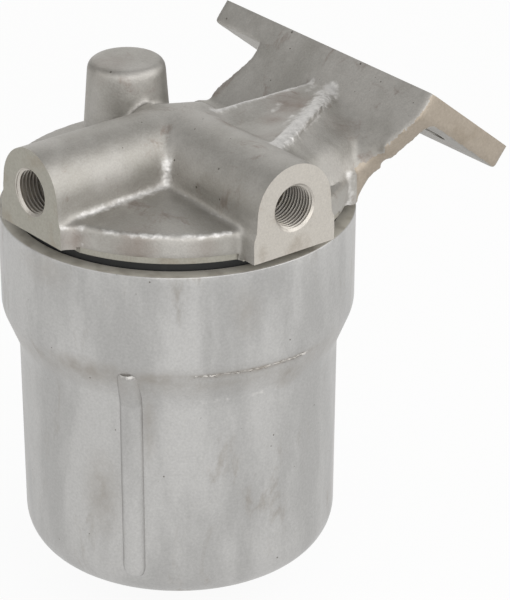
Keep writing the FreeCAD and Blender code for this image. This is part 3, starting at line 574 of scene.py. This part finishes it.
# The tap starts this far before the mouth, its flats stay this far inside the crests, and it has this many
# steps to a turn.
TAP_LEAD = 0.5
TAP_CLEARANCE = 0.12
TAP_STEPS = 72
# The side of the web that is stained begins this far behind the axis.
WEB_START = 54.0
# Faces that meet at less than this angle are shaded as one.
HEAD_SMOOTH_ANGLE = math.radians(34)

# The crests of the gusset's ridges, in millimetres.
RIGHT_RIDGE = ((16.6, 71.6, 37.9), (53.0, 12.5, 40.0))
LEFT_RIDGE = ((4.3, 71.6, 37.9), (8.0, 12.5, 40.0))

# Lines in millimetres along which a highlight is painted over a hammered bump: start, end, how far it reaches
# and how strong it is.
HIGHLIGHT_AND_DRESSING_LINES = (
    (*RIGHT_RIDGE, 3.8, 1.0),
    (*LEFT_RIDGE, 1.8, 0.8),
    ((8.0, 69.0, 37.0), (12.0, 60.0, 35.6), 1.6, 0.8),
    ((14.0, 46.0, 36.0), (17.0, 40.0, 36.0), 1.6, 0.65),
    ((28.0, 42.0, 36.5), (33.0, 33.0, 36.5), 1.5, 0.6),
    ((20.8, -66.0, 16.6), (21.2, -24.0, 18.6), 2.2, 0.72),
    ((24.0, -21.2, 18.6), (64.0, -20.8, 16.6), 1.4, 0.3),
    ((21.0, -21.0, 19.0), (20.4, -20.4, 36.0), 2.0, 0.8),
    ((21.4, -77.0, 15.0), (26.6, -69.0, 15.0), 1.4, 0.7),
    ((26.6, -69.0, 15.0), (26.6, -69.0, 6.0), 0.9, 0.6),
    ((56.4, 49.8, 3.0), (56.4, 49.8, 18.4), 2.0, 0.6),
    ((5.0, 71.0, 38.0), (12.0, 62.0, 34.5), 1.2, 0.7),
)
# The disc's upper edge between the feet, along which a highlight is painted: its radius and level, its first
# and last angle in degrees, and the highlight's reach and strength.
HIGHLIGHT_AND_DRESSING_EDGE = (74.0, 15.6, -62, -19, 1.3, 0.62)
# Places in millimetres that are darkened towards a browner tone, with how far it reaches and how strong it
# is. On the knob's top the darkening is painted shade.
SOILED_AND_SHADED_PLACES = (
    ((18.0, 50.0, 36.0), 14.0, 1.2),
    ((24.0, 34.0, 36.0), 8.0, 0.8),
    ((40.0, 22.0, 37.0), 9.0, 0.4),
    ((48.0, -58.0, 9.0), 12.0, 1.0),
    ((66.0, -36.0, 9.0), 8.0, 0.6),
    ((25.0, -72.0, 9.0), 8.0, 1.0),
    ((40.0, 58.0, 30.0), 10.0, 0.5),
    # Painted shade on the knob's top.
    ((-36.0, -8.0, 52.0), 12.0, 0.5),
)


def line_distance(point, start, end):
    """How far a point is from the line between two others."""
    run = end - start
    share = max(0.0, min(1.0, (point - start).dot(run) / run.length_squared))
    return (point - start - run * share).length


def write_light_and_dirt(piece, highlight_and_dressing, soiled_and_shaded):
    """Stores how strongly each vertex gets the painted highlight and how far it is darkened, by dirt and by
    painted shade, for the casting's material.
    """
    for name, values in (("highlight_and_dressing", highlight_and_dressing), ("soiled_and_shaded", soiled_and_shaded)):
        attribute = piece.data.attributes.new(name, "FLOAT", "POINT")
        attribute.data.foreach_set("value", values)


def paint_head_light_and_dirt(piece):
    """Paints highlights along the ridges and edges in the lists, and darkens the listed places, with painted
    shade on the knob's top.
    """
    radius, level, first, last, edge_reach, edge_strength = HIGHLIGHT_AND_DRESSING_EDGE
    lines = [(place(*start), place(*end), reach * MM, strength)
             for start, end, reach, strength in HIGHLIGHT_AND_DRESSING_LINES]
    spots = [(place(*spot), reach * MM, strength) for spot, reach, strength in SOILED_AND_SHADED_PLACES]
    highlight_and_dressing, soiled_and_shaded = [], []
    for vertex in piece.data.vertices:
        point = vertex.co
        value = 0.0
        # A painted highlight along each listed line.
        for start, end, reach, strength in lines:
            value = max(value, strength * (1 - line_distance(point, start, end) / (2 * reach)))
        across = math.hypot(point.x, point.y - AXIS_Y)
        angle = math.degrees(math.atan2(point.y - AXIS_Y, point.x))
        if first < angle < last:
            gap = math.hypot(across - radius * MM, point.z - RIM_Z - level * MM)
            value = max(value, edge_strength * (1 - gap / (2 * edge_reach * MM)))
        highlight_and_dressing.append(max(value, 0.0))
        # Darkening round the listed places, which on the knob's top is painted shade.
        dirt_and_shade = [strength * (1 - (point - spot).length / reach) for spot, reach, strength in spots]
        soiled_and_shaded.append(max(dirt_and_shade + [0.0]))
    write_light_and_dirt(piece, highlight_and_dressing, soiled_and_shaded)


def head_material_index(face):
    """0 for the casting's skin, 1 for machined faces, 2 for soiled ones and 3 for stained ones."""
    centre, normal = face.center, face.normal
    register = RIM_Z + (REGISTER_TOP + 0.05) * MM
    port_reach, port_depth = (PORT_RADIUS + 1.2) * MM, (PORT_DEPTH + 1) * MM
    if near(centre.y, LEFT_FACE, 0.1) and normal.y < -0.9:
        return 2
    if near(centre.x, RIGHT_FACE, 0.1) and normal.x > 0.9:
        return 1
    if normal.x > 0.7 and centre.x > (WEB_RIGHT_WAIST - 1) * MM and centre.y > AXIS_Y + WEB_START * MM:
        return 3
    if abs(centre.dot(PAD_NORMAL)) < 0.1 * MM and normal.dot(PAD_NORMAL) > 0.9:
        return 1
    across = math.hypot(centre.x, centre.y - AXIS_Y)
    if centre.z < register and across < (REGISTER_RADIUS + 0.05) * MM:
        return 2
    if normal.z < -0.9 and centre.z < register:
        return 1
    if centre.x > RIGHT_FACE - port_depth and math.hypot(centre.y - AXIS_Y, centre.z - PORT_Z) < port_reach:
        return 1
    if centre.y < LEFT_FACE + port_depth and math.hypot(centre.x, centre.z - PORT_Z) < port_reach:
        return 1
    return 0


def tap(name, mouth, direction):
    """A tap for the port's thread: a blunt vee is screwed along it, and both its ends are cut square."""
    pitch = THREAD_PITCH * MM
    lead, length = 1.1 * pitch, (PORT_DEPTH + TAP_LEAD) * MM
    inner = PORT_CREST - TAP_CLEARANCE
    # Each radius, and its share of the pitch.
    profile = ((inner, 0), (inner, 0.16), (PORT_RADIUS, 0.52), (PORT_RADIUS, 0.68), (inner, 1))
    tool = drawn_line(name, [Vector((radius * MM, 0, share * pitch)) for radius, share in profile])
    turns = math.ceil((lead + length) / pitch) + 1
    apply(tool, "SCREW", axis="Z", angle=math.tau, screw_offset=pitch, iterations=turns,
          steps=TAP_STEPS, render_steps=TAP_STEPS, use_merge_vertices=True, merge_threshold=0.01 * MM)
    edit(tool)
    bpy.ops.mesh.remove_doubles(threshold=0.005 * MM)
    for height, side in ((lead, -1), (lead + length, 1)):
        bpy.ops.mesh.select_all(action="SELECT")
        bpy.ops.mesh.bisect(
            plane_co=(0, 0, height), plane_no=(0, 0, side), use_fill=True, clear_outer=True)
    done()
    clean(tool)
    tool.rotation_euler = direction.to_track_quat("Z", "Y").to_euler()
    tool.location = mouth - direction * (lead + TAP_LEAD * MM)
    settle(tool)
    return tool


def bar(name, start, end, radius):
    """A round bar between two places given in millimetres, for a ridge that stands out of the casting."""
    start, end = place(*start), place(*end)
    length = (end - start).length / MM
    return turned(name, start, (end - start).normalized(), [(0, radius), (length, radius)], 24)


def cast_additions():
    """Forms of the casting that the solid leaves out: wedges in its hollows and ridges on its edges."""
    return [
        hull("gusset_flank", [(36, 12, 14), (50, 12, 37.4), (16, 56, 14), (18, 72.2, 37.8),
                              (64, 15, 14), (64, 15, 32.6), (55, 52, 14), (46, 64.2, 28.2)]),
        bar("gusset_right_ridge", (16.5, 71.2, 35.4), (51.8, 12.5, 37.6), 2.8),
        bar("gusset_left_ridge", (4.3, 71.2, 36.3), (8.0, 12.0, 38.6), 1.6),
        bar("web_corner_post", (55.0, 51.8, 0), (55.0, 51.8, 18.4), 2.6),
        hull("left_foot_flare", [(15, -76, 0), (15, -76, 15.2), (15, -60, 0), (15, -60, 15.2),
                                 (21, -76, 0), (21, -76, 15.2), (27, -68, 0), (27, -68, 15.2)]),
    ]


def post_tool(name, across, profile):
    """An upright round tool at a place across the head."""
    return turned(name, place(across, 0, 0), UP, profile)


def cast_reliefs():
    """Where the casting is lower than its solid: behind the hub, at the gusset's end and round the knob."""
    knob_room = [(0, 20.2), (70, 16.5)]
    hub_back = hull("hub_back", [(-8.3, -8.7, 43.6), (-8.3, -8.7, 60), (-29.6, 7.2, 30.3), (-29.6, 7.2, 60),
                                 (7.3, 12.0, 45.4), (7.3, 12.0, 60), (-14.0, 28.0, 33.0), (-14.0, 28.0, 60)])
    cut(hub_back, post_tool("knob_room", KNOB_PLACE, knob_room))
    gusset_end = hull("gusset_end", [(-2, 30, 39.5), (-2, 30, 44), (-2, 71.6, 37.8), (-2, 75.1, 42),
                                     (30, 30, 39.5), (30, 30, 44), (30, 71.6, 37.8), (30, 75.1, 42)])
    disc_back = block("disc_back", (-100, -100, DISC_BACK_LEVEL), (-FOOT_HALF_WIDTH - 0.4, 50, 24))
    cut(disc_back, post_tool("knob_room", KNOB_PLACE, knob_room))
    cut(disc_back, post_tool("hub_room", 0, [(0, 36), (70, 36)]))
    return [hub_back, gusset_end, disc_back]


def blend(piece, low, high, ridge, reach, repeat):
    """Smooths the skin inside a box, except near a ridge line, as a pattern maker fillets a corner."""
    low, high = place(*low), place(*high)
    start, end = place(*ridge[0]), place(*ridge[1])
    edit(piece, "VERT")
    pick(piece, "VERT", lambda v: all(a < c < b for a, c, b in zip(low, v.co, high))
         and line_distance(v.co, start, end) > reach * MM)
    bpy.ops.mesh.vertices_smooth(factor=0.5, repeat=repeat)
    done()


def leave_excess(head):
    """Cuts off what hangs below the floor, and lets the faces to be milled start proud of their planes."""
    level = RIM_Z + (HEAD_GAP + FLOOR_LIFT) * MM
    cut(head, turned("lower_part", place(0, 0, HEAD_GAP + FLOOR_LIFT), DOWN,
                     [(0, TRIM_REACH), (45, TRIM_REACH)]))
    edit(head)
    for test, step in (
            (lambda f: near(f.center.z, level) and f.normal.z < -0.9, Vector((0, 0, -FLOOR_EXCESS * MM))),
            (lambda f: near(f.center.x, RIGHT_FACE) and f.normal.x > 0.9, Vector((FACE_EXCESS * MM, 0, 0))),
            (lambda f: near(f.center.y, LEFT_FACE) and f.normal.y < -0.9, Vector((0, -FACE_EXCESS * MM, 0))),
            (lambda f: abs(f.center.dot(PAD_NORMAL)) < 0.05 * MM and f.normal.dot(PAD_NORMAL) > 0.9,
             PAD_NORMAL * PAD_EXCESS * MM)):
        pick(head, "FACE", test)
        bpy.ops.mesh.extrude_region_move(TRANSFORM_OT_translate={"value": step})
    done()


def bracket_hole(name, side, start, finish, radius):
    """A round tool down a bracket hole, between two depths under the pad's face."""
    middle = Vector(MOUNTS[f"bracket_hole_{side}"]["pos_m"])
    top = middle + PAD_NORMAL * PAD_THICKNESS / 2 * MM
    return turned(name, top, -PAD_NORMAL, [(start, radius), (finish, radius)])


def cut_register(head):
    """Turns the register under the disc, but not under the feet and the web's post."""
    ring = turned("register_tool", place(0, 0, REGISTER_TOP), DOWN,
                  [(0, REGISTER_CUT_RADIUS), (8, REGISTER_CUT_RADIUS)], REGISTER_SEGMENTS)
    core = turned("register_core", place(0, 0, REGISTER_TOP + 2), DOWN,
                  [(0, REGISTER_RADIUS), (12, REGISTER_RADIUS)], REGISTER_SEGMENTS)
    cut(ring, core)
    wide = FOOT_HALF_WIDTH + FOOT_ROOM
    for name, low, high in (
            ("foot_room_right", (40, -wide, -6), (FOOT_REACH, wide, 12)),
            ("foot_room_left", (-wide, -FOOT_REACH, -6), (wide + 2.5, -40, 12)),
            ("post_room", (WEB_RIGHT_WAIST - 7, 40, -6), (WEB_RIGHT_WAIST + 6, 100, 12))):
        cut(ring, block(name, low, high))
    cut(head, ring)


def trim_feet(head):
    """Cuts the undersides of the two feet level."""
    wide = FOOT_HALF_WIDTH + 8
    cut(head, block("right_foot_trim", (REGISTER_RADIUS, -wide, -6), (FOOT_REACH, wide, RIGHT_FOOT_LEVEL)))
    cut(head, block("left_foot_trim", (-wide, -FOOT_REACH, -6),
                    (wide, -REGISTER_RADIUS + 4, LEFT_FOOT_LEVEL)))


def give_finish(piece, materials, material_index, smooth_angle):
    """Gives every face its material, and smooths the shading across the shallow edges."""
    for material in materials:
        piece.data.materials.append(material)
    for face in piece.data.polygons:
        face.material_index = material_index(face)
    select_only(piece)
    bpy.ops.object.shade_smooth_by_angle(angle=smooth_angle)


def make_head():
    """The casting on the head: its skin is fused and rounded, then its faces, bores and threads are cut."""
    head = copy_node("head_casting", "head_casting_skin")
    underside = copy_node("head_casting", "head_casting_spigots")
    cut(underside, turned("upper_part", place(0, 0, HEAD_GAP - 0.02), UP, [(0, 260), (80, 260)]))
    ports = (("right", Vector((RIGHT_FACE, AXIS_Y, PORT_Z)), Vector((-1, 0, 0))),
             ("left", Vector((0, LEFT_FACE, PORT_Z)), Vector((0, 1, 0))))

    # The faces get room to trim, the casting's own forms are added, and the bores are plugged.
    leave_excess(head)
    for relief in cast_reliefs():
        cut(head, relief)
    plug = [(-FACE_EXCESS, PLUG_RADIUS), (PORT_DEPTH + 3, PLUG_RADIUS)]
    plugs = [turned(f"plug_{side}", mouth, inward, plug) for side, mouth, inward in ports]
    for side in ("left", "right"):
        plugs.append(bracket_hole(f"plug_{side}_hole", side, -3, PAD_THICKNESS - 0.1, HOLE_PLUG_RADIUS))
    join(head, *cast_additions(), *plugs)

    # The cast skin: fused, then rounded as a casting's edges and hollows are.
    apply(head, "REMESH", mode="VOXEL", voxel_size=SKIN_VOXEL * MM, adaptivity=0.0)
    apply(head, "SMOOTH", factor=0.5, iterations=SKIN_PASSES)
    blend(head, FLANK_LOW, FLANK_HIGH, RIGHT_RIDGE, FLANK_RIDGE_REACH, FLANK_PASSES)

    # The faces are milled, and the register, the ports and the bracket's holes are cut into the skin.
    faces = [(mouth, -inward) for _, mouth, inward in ports]
    faces += [(place(0, 0, HEAD_GAP), DOWN), (Vector((0, 0, 0)), PAD_NORMAL)]
    for spot, outward in faces:
        cut(head, turned("trim", spot, outward, [(0, TRIM_REACH), (TRIM_DEPTH, TRIM_REACH)]))
    cut_register(head)
    trim_feet(head)
    for side, mouth, inward in ports:
        cut(head, turned(f"port_tool_{side}", mouth, inward, PORT_PROFILE))
        cut(head, tap(f"tap_{side}", mouth, inward))
        cut(head, bracket_hole("hole_tool", side, -4, PAD_THICKNESS + 4, HOLE_RADIUS))
    join(head, underside)

    paint_head_light_and_dirt(head)
    give_finish(head, (
        cast_aluminium("as_cast_aluminium_head", "#B3B0AB", "#A3A09A", "#7F6E64",
                       0.9, 0.16, 0.14, 0.55, (1, 1, 1)),
        milled_aluminium("milled_aluminium", "#C2BDB5", 0.8, 0.44),
        milled_aluminium("milled_aluminium_soiled", "#A5A298", 1.1, 0.48),
        milled_aluminium("milled_aluminium_stained", "#A89E91", 1.1, 0.5),
    ), head_material_index, HEAD_SMOOTH_ANGLE)
    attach(head, "head")
    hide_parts("head_casting")


# Bowl

# Sizes in millimetres. Depths are below height 0.
RIM_RADIUS = (bowl_high.y - bowl_low.y) / 2 / MM
RIM_FOOT_RADIUS = 77.2
RIM_HEIGHT = 46.0
SHOULDER_HEIGHT = 18.0
BODY_RADIUS = 69.8
BODY_FOOT_RADIUS = 68.6
BOWL_DEPTH = 164.2
RIM_LIP = 6.8
LEDGE_DEPTH = 5.0
BODY_WALL = 6.2
FLOOR_THICKNESS = 7.0
RIM_BORE = 67.1
PEDESTAL_RADIUS = 21.0
PEDESTAL_HEIGHT = 6.0
BOSS_RADIUS = 15.0
BOSS_HEIGHT = 8.6
BOLT_HOLE = 6.6
RIB_RADIUS = 5.4
RIB_STAND = 3.4
RIB_FOOT_HEIGHT = 17.0
RIB_TURN = math.radians(306)
RIB_COUNT = 2
BOWL_SEGMENTS = 180
BOWL_SMOOTH_ANGLE = math.radians(32)
# Depths of the rings of vertices down the wall, along which its wear can vary.
RING_DEPTHS = range(6, 142, 3)
# The flash under the rim: its first and last angle, its radius and how rough it is.
SEAM_START = math.radians(328)
SEAM_END = math.radians(369)
SEAM_RADIUS = 0.8
SEAM_ROUGHNESS = 0.5
# The shoulder's foot is rubbed and gets a painted highlight between these angles in degrees, this far up and
# down, and this much.
SHOULDER_FOOT_HIGHLIGHT_AND_RUB = (328, 356, 2.4, 0.4)


def seam_bead():
    """A rough line of flash that runs part of the way round under the rim."""
    radius = RIM_FOOT_RADIUS - 1.5
    start = place(radius * math.cos(SEAM_START), radius * math.sin(SEAM_START), -RIM_HEIGHT - 2.4)
    bpy.ops.object.select_all(action="DESELECT")
    bpy.ops.mesh.primitive_circle_add(
        vertices=10, radius=SEAM_RADIUS * MM, fill_type="NGON", location=start,
        rotation=(math.pi / 2, 0, SEAM_START))
    bead = bpy.context.object
    bead.name = "rim_seam"
    settle(bead)
    edit(bead)
    bpy.ops.mesh.spin(steps=60, angle=SEAM_START - SEAM_END, center=place(0, 0, 0), axis=(0, 0, 1))
    bpy.ops.mesh.select_all(action="SELECT")
    bpy.ops.transform.vertex_random(offset=SEAM_ROUGHNESS * MM, seed=5)
    done()
    clean(bead)
    return bead


# Darkened places on the bowl: stains, and at 312 degrees a painted shadow in the crease right of a rib. Each
# has its angle in degrees and level in millimetres, how far it reaches along each, and its strength.
BOWL_DIRT_AND_SHADE = (
    (292, -50, 14, 5, 1.3),
    (276, -8, 9, 6, 0.7),
    # Painted shadow in the crease beside the rib.
    (316, -50, 7, 3, 1.5),
    (294, -112, 6, 16, 0.9),
    (312, -75, 2, 14, 0.8),
    (4, -58, 6, 5, 1.2),
    (345, -20, 4, 9, 0.6),
    (349, -48.4, 26, 1.3, 1.5),
)


def paint_bowl_light_and_dirt(piece):
    """Paints shade in a band round the shoulder and a shadow beside a rib, stains a few places, and paints a
    highlight along part of the shoulder's foot.
    """
    first, last, highlight_reach, highlight_strength = SHOULDER_FOOT_HIGHLIGHT_AND_RUB
    highlight_and_dressing, soiled_and_shaded = [], []
    for vertex in piece.data.vertices:
        x, y, z = vertex.co.x / MM, (vertex.co.y - AXIS_Y) / MM, (vertex.co.z - RIM_Z) / MM
        angle = math.degrees(math.atan2(y, x)) % 360
        gap = abs(z + RIM_HEIGHT + SHOULDER_HEIGHT - 0.5)
        # Painted highlight along the shoulder's foot.
        highlight_and_rub = 1 - gap / highlight_reach if first < angle < last else 0.0
        highlight_and_dressing.append(max(0.0, highlight_strength * highlight_and_rub))
        # Painted shade: a band round the shoulder, which faces down, is darkened.
        dirt_and_shade = max(0.0, 0.5 - abs(z + RIM_HEIGHT + 0.4 * SHOULDER_HEIGHT) / (1.1 * SHOULDER_HEIGHT))
        for turn, level, wide, high, strength in BOWL_DIRT_AND_SHADE:
            gap = math.hypot(((angle - turn + 180) % 360 - 180) / wide, (z - level) / high)
            dirt_and_shade = max(dirt_and_shade, strength * (1 - gap / 1.6))
        soiled_and_shaded.append(dirt_and_shade)
    write_light_and_dirt(piece, highlight_and_dressing, soiled_and_shaded)


def bowl_section():
    """One side of the bowl's section as a closed line, with its corners rounded."""
    floor = FLOOR_THICKNESS - BOWL_DEPTH
    boss_foot = -BOWL_DEPTH - BOSS_HEIGHT
    shoulder_foot = -RIM_HEIGHT - SHOULDER_HEIGHT
    section = [
        (BOLT_HOLE, floor + PEDESTAL_HEIGHT),
        (PEDESTAL_RADIUS, floor + PEDESTAL_HEIGHT),
        (PEDESTAL_RADIUS, floor),
        (BODY_FOOT_RADIUS - BODY_WALL, floor),
        (BODY_RADIUS - BODY_WALL, shoulder_foot),
        (RIM_BORE, -RIM_HEIGHT),
        (RIM_BORE, -LEDGE_DEPTH),
        (RIM_RADIUS - RIM_LIP, -LEDGE_DEPTH),
        (RIM_RADIUS - RIM_LIP, -RIM_TOP_DEPTH),
        (RIM_RADIUS, -RIM_TOP_DEPTH),
        (RIM_FOOT_RADIUS, -RIM_HEIGHT),
        (BODY_RADIUS, shoulder_foot),
        (BODY_FOOT_RADIUS, -BOWL_DEPTH),
        (BOSS_RADIUS, -BOWL_DEPTH),
        (BOSS_RADIUS - 1, boss_foot),
        (BOLT_HOLE, boss_foot),
    ]
    # Each corner, how far its rounding starts from it, and in how many steps.
    roundings = (
        ((BODY_FOOT_RADIUS, -BOWL_DEPTH), 19.0, 14),
        ((RIM_FOOT_RADIUS, -RIM_HEIGHT), 2.4, 5),
        ((BODY_RADIUS, shoulder_foot), 3.5, 6),
        ((BOSS_RADIUS, -BOWL_DEPTH), 3.0, 4),
        ((RIM_RADIUS, -RIM_TOP_DEPTH), 0.6, 3),
        ((RIM_RADIUS - RIM_LIP, -RIM_TOP_DEPTH), 0.3, 1),
        ((BODY_FOOT_RADIUS - BODY_WALL, floor), 9.0, 6),
        ((BOSS_RADIUS - 1, boss_foot), 0.8, 2),
    )
    line = [place(radius, 0, up) for radius, up in section]
    bowl = drawn_line("bowl_casting", line)
    edit(bowl, "VERT")
    for (radius, up), size, steps in roundings:
        target = place(radius, 0, up)
        pick(bowl, "VERT", lambda v: (v.co - target).length < 0.05 * MM)
        bpy.ops.mesh.bevel(offset=size * MM, segments=steps, affect="VERTICES", offset_type="OFFSET")
    pick(bowl, "VERT", lambda v: min((v.co - line[0]).length, (v.co - line[-1]).length) < 0.05 * MM)
    bpy.ops.mesh.edge_face_add()
    done()
    return bowl


def rib_centre(outward, radius, up):
    """The middle of a rib whose crown reaches a radius."""
    return place(0, 0, up) + outward * (radius - RIB_RADIUS) * MM


def make_ribs():
    """Half-round ribs down the body, each with a piece that leans up the shoulder."""
    ribs = []
    for index in range(RIB_COUNT):
        turn = RIB_TURN + math.tau * index / RIB_COUNT
        outward = Vector((math.cos(turn), math.sin(turn), 0))
        top = rib_centre(outward, BODY_RADIUS + 0.1 + RIB_STAND, -RIM_HEIGHT - SHOULDER_HEIGHT - 1)
        foot = rib_centre(outward, BODY_FOOT_RADIUS + 0.2 + RIB_STAND, RIB_FOOT_HEIGHT - BOWL_DEPTH)
        run = foot - top
        length = run.length / MM
        ribs.append(turned(f"rib_{index}", top, run.normalized(), [
            (-3, 5.0), (0, RIB_RADIUS), (length - 2, RIB_RADIUS),
            (length, 5.0), (length + 2, 4.0), (length + 3, 2.5)], 48))
        crown = rib_centre(outward, RIM_FOOT_RADIUS + 0.6, -RIM_HEIGHT - 2.6)
        run = top - crown
        ribs.append(turned(f"rib_{index}_top", crown, run.normalized(), [
            (-0.6, 4.4), (0, 5.0), (1, RIB_RADIUS), (run.length / MM, RIB_RADIUS)], 48))
    return ribs


def bowl_material_index(face):
    """0 for the casting's skin and 1 for the turned rim's top and inside."""
    across = math.hypot(face.center.x, face.center.y - AXIS_Y)
    outward = (face.normal.x * face.center.x + face.normal.y * (face.center.y - AXIS_Y)) / across
    in_rim = face.center.z > RIM_Z - RIM_HEIGHT * MM and across < (RIM_RADIUS - 0.2) * MM
    return 1 if in_rim and outward < 0.5 else 0


def make_bowl():
    """The bowl: its section is turned round the axis, and the ribs and the flash are set on it."""
    bowl = bowl_section()
    edit(bowl, "VERT")
    bpy.ops.mesh.spin(steps=BOWL_SEGMENTS, angle=math.tau, center=place(0, 0, 0), axis=(0, 0, 1))
    for depth in RING_DEPTHS:
        bpy.ops.mesh.select_all(action="SELECT")
        bpy.ops.mesh.bisect(plane_co=place(0, 0, -depth), plane_no=(0, 0, 1))
    done()
    clean(bowl)
    ribs = make_ribs()
    join(bowl, seam_bead(), *ribs)
    paint_bowl_light_and_dirt(bowl)
    give_finish(bowl, (
        cast_aluminium("as_cast_aluminium_bowl", "#BDBCBA", "#ACABA9", "#948D84",
                       1.1, 0.07, 0.08, 0.43, (1, 1, 0.3)),
        dull_aluminium("turned_aluminium_dulled", "#B3AFA5"),
    ), bowl_material_index, BOWL_SMOOTH_ANGLE)
    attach(bowl, "bowl_assembly")
    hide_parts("bowl")


def make_valve_spring(steel):
    """The bypass valve's spring, in spring steel, carried with the head: its top stays under the knob's roof.
    """
    spring = copy_node("bypass_spring", "bypass_spring_coil")
    spring.data.materials.append(steel)
    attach(spring, "head")
    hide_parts("bypass_spring")
    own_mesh(spring)


def dress_nodes():
    """Gives the pieces that keep the frame's shapes their materials."""
    rubber = moulded_rubber("moulded_nitrile_rubber")
    zinc = plain_metal("zinc_plated_steel", "#B5B6B4", "#8F8D86", 0.32)
    spring = plain_metal("oil_tempered_spring_steel", "#5C5A57", "#47433F", 0.4)
    tin = plain_metal("pressed_tinplate", "#C2C1BC", "#A9A69E", 0.28, patch_size=15)
    soft_copper = plain_metal("annealed_copper", "#B3714C", "#8A5238", 0.38)
    brass = plain_metal("turned_brass", "#B8975A", "#8F7444", 0.34)
    paper = filter_paper("resin_soaked_filter_paper")
    for material, nodes in (
            (rubber, ("bowl_seal", "bolt_o_ring", "element_lower_grommet", "element_upper_grommet")),
            (zinc, ("centre_bolt", "spring_seat_washer", "spring_cup")),
            (spring, ("bolt_keeper", "element_spring", "bypass_keeper")),
            (tin, ("element_lower_cap", "element_upper_cap", "element_core")),
            (soft_copper, ("bolt_washer",)),
            (brass, ("bypass_seat", "bypass_poppet")),
            (paper, ("element_media",))):
        for node in nodes:
            frame["nodes"][node].material_slots[0].material = material
    make_valve_spring(spring)


# Floor and light

# The board's size in metres, and how much of the camera's sight of it is plain white.
FLOOR_SIZE = 30
FLOOR_WHITE = 0.92
# Each lamp's place across the view, away from it and up, and its size, all in metres, then its power in
# watts. They aim below the rim's centre.
LAMPS = (
    ("key_lamp", 1.3, -0.35, 0.75, 1.8, 17),
    ("front_lamp", 0.1, -1.7, 0.75, 1.6, 16),
    ("fill_lamp", -1.3, -0.6, 0.7, 1.3, 5.5),
    ("back_lamp", -0.2, 1.7, 0.85, 1.6, 5.5),
)
LAMP_AIM = place(0, 0, -40)
# The surround's strength on the object, and as the camera sees it.
SKY_LIGHT = 0.5
SKY_SEEN = 1.0


# A pale matt board. The camera and mirror-like surfaces see it near white, with the object's faint shadow.
def make_floor():
    bpy.ops.object.select_all(action="DESELECT")
    bpy.ops.mesh.primitive_plane_add(size=FLOOR_SIZE, location=(0, AXIS_Y, cad_low.z))
    floor = bpy.context.object
    floor.name = "floor"
    material, tree = new_material("pale_matt_board")
    path = add_node(tree, "ShaderNodeLightPath")
    seen = add_node(tree, "ShaderNodeMath", {
        0: path.outputs["Is Camera Ray"], 1: path.outputs["Is Glossy Ray"]}, operation="MAXIMUM")
    share = add_node(tree, "ShaderNodeMath", {0: seen.outputs[0], 1: FLOOR_WHITE}, operation="MULTIPLY")
    matt = add_node(tree, "ShaderNodeBsdfDiffuse", {"Color": linear("#E6E6E4")})
    white = add_node(tree, "ShaderNodeEmission", {"Color": (1, 1, 1, 1), "Strength": 1.0})
    mixed = add_node(tree, "ShaderNodeMixShader", {
        0: share.outputs[0], 1: matt.outputs[0], 2: white.outputs[0]})
    add_node(tree, "ShaderNodeOutputMaterial", {"Surface": mixed.outputs[0]})
    floor.data.materials.append(material)


def make_light(lateral, away):
    """An even white surround and large soft lamps, placed by the camera's level directions."""
    world = bpy.data.worlds.new("studio")
    bpy.context.scene.world = world
    world.use_nodes = True
    tree = world.node_tree
    tree.nodes.clear()
    path = add_node(tree, "ShaderNodeLightPath")
    strength = add_node(tree, "ShaderNodeMapRange", {
        "Value": path.outputs["Is Camera Ray"], "To Min": SKY_LIGHT, "To Max": SKY_SEEN})
    sky = add_node(tree, "ShaderNodeBackground", {
        "Color": (1, 1, 1, 1), "Strength": strength.outputs[0]})
    add_node(tree, "ShaderNodeOutputWorld", {"Surface": sky.outputs[0]})
    for name, across, back, height, size, power in LAMPS:
        spot = place(0, 0, 0) + (lateral * across + away * back) + UP * height
        aim = LAMP_AIM - spot
        bpy.ops.object.light_add(
            type="AREA", location=spot, rotation=aim.to_track_quat("-Z", "Y").to_euler())
        lamp = bpy.context.object
        lamp.name = name
        lamp.data.size = size
        lamp.data.energy = power


lateral, away = set_camera()
make_head()
make_bowl()
dress_nodes()
make_floor()
make_light(lateral, away)
bpy.context.scene.view_settings.view_transform = "Standard"
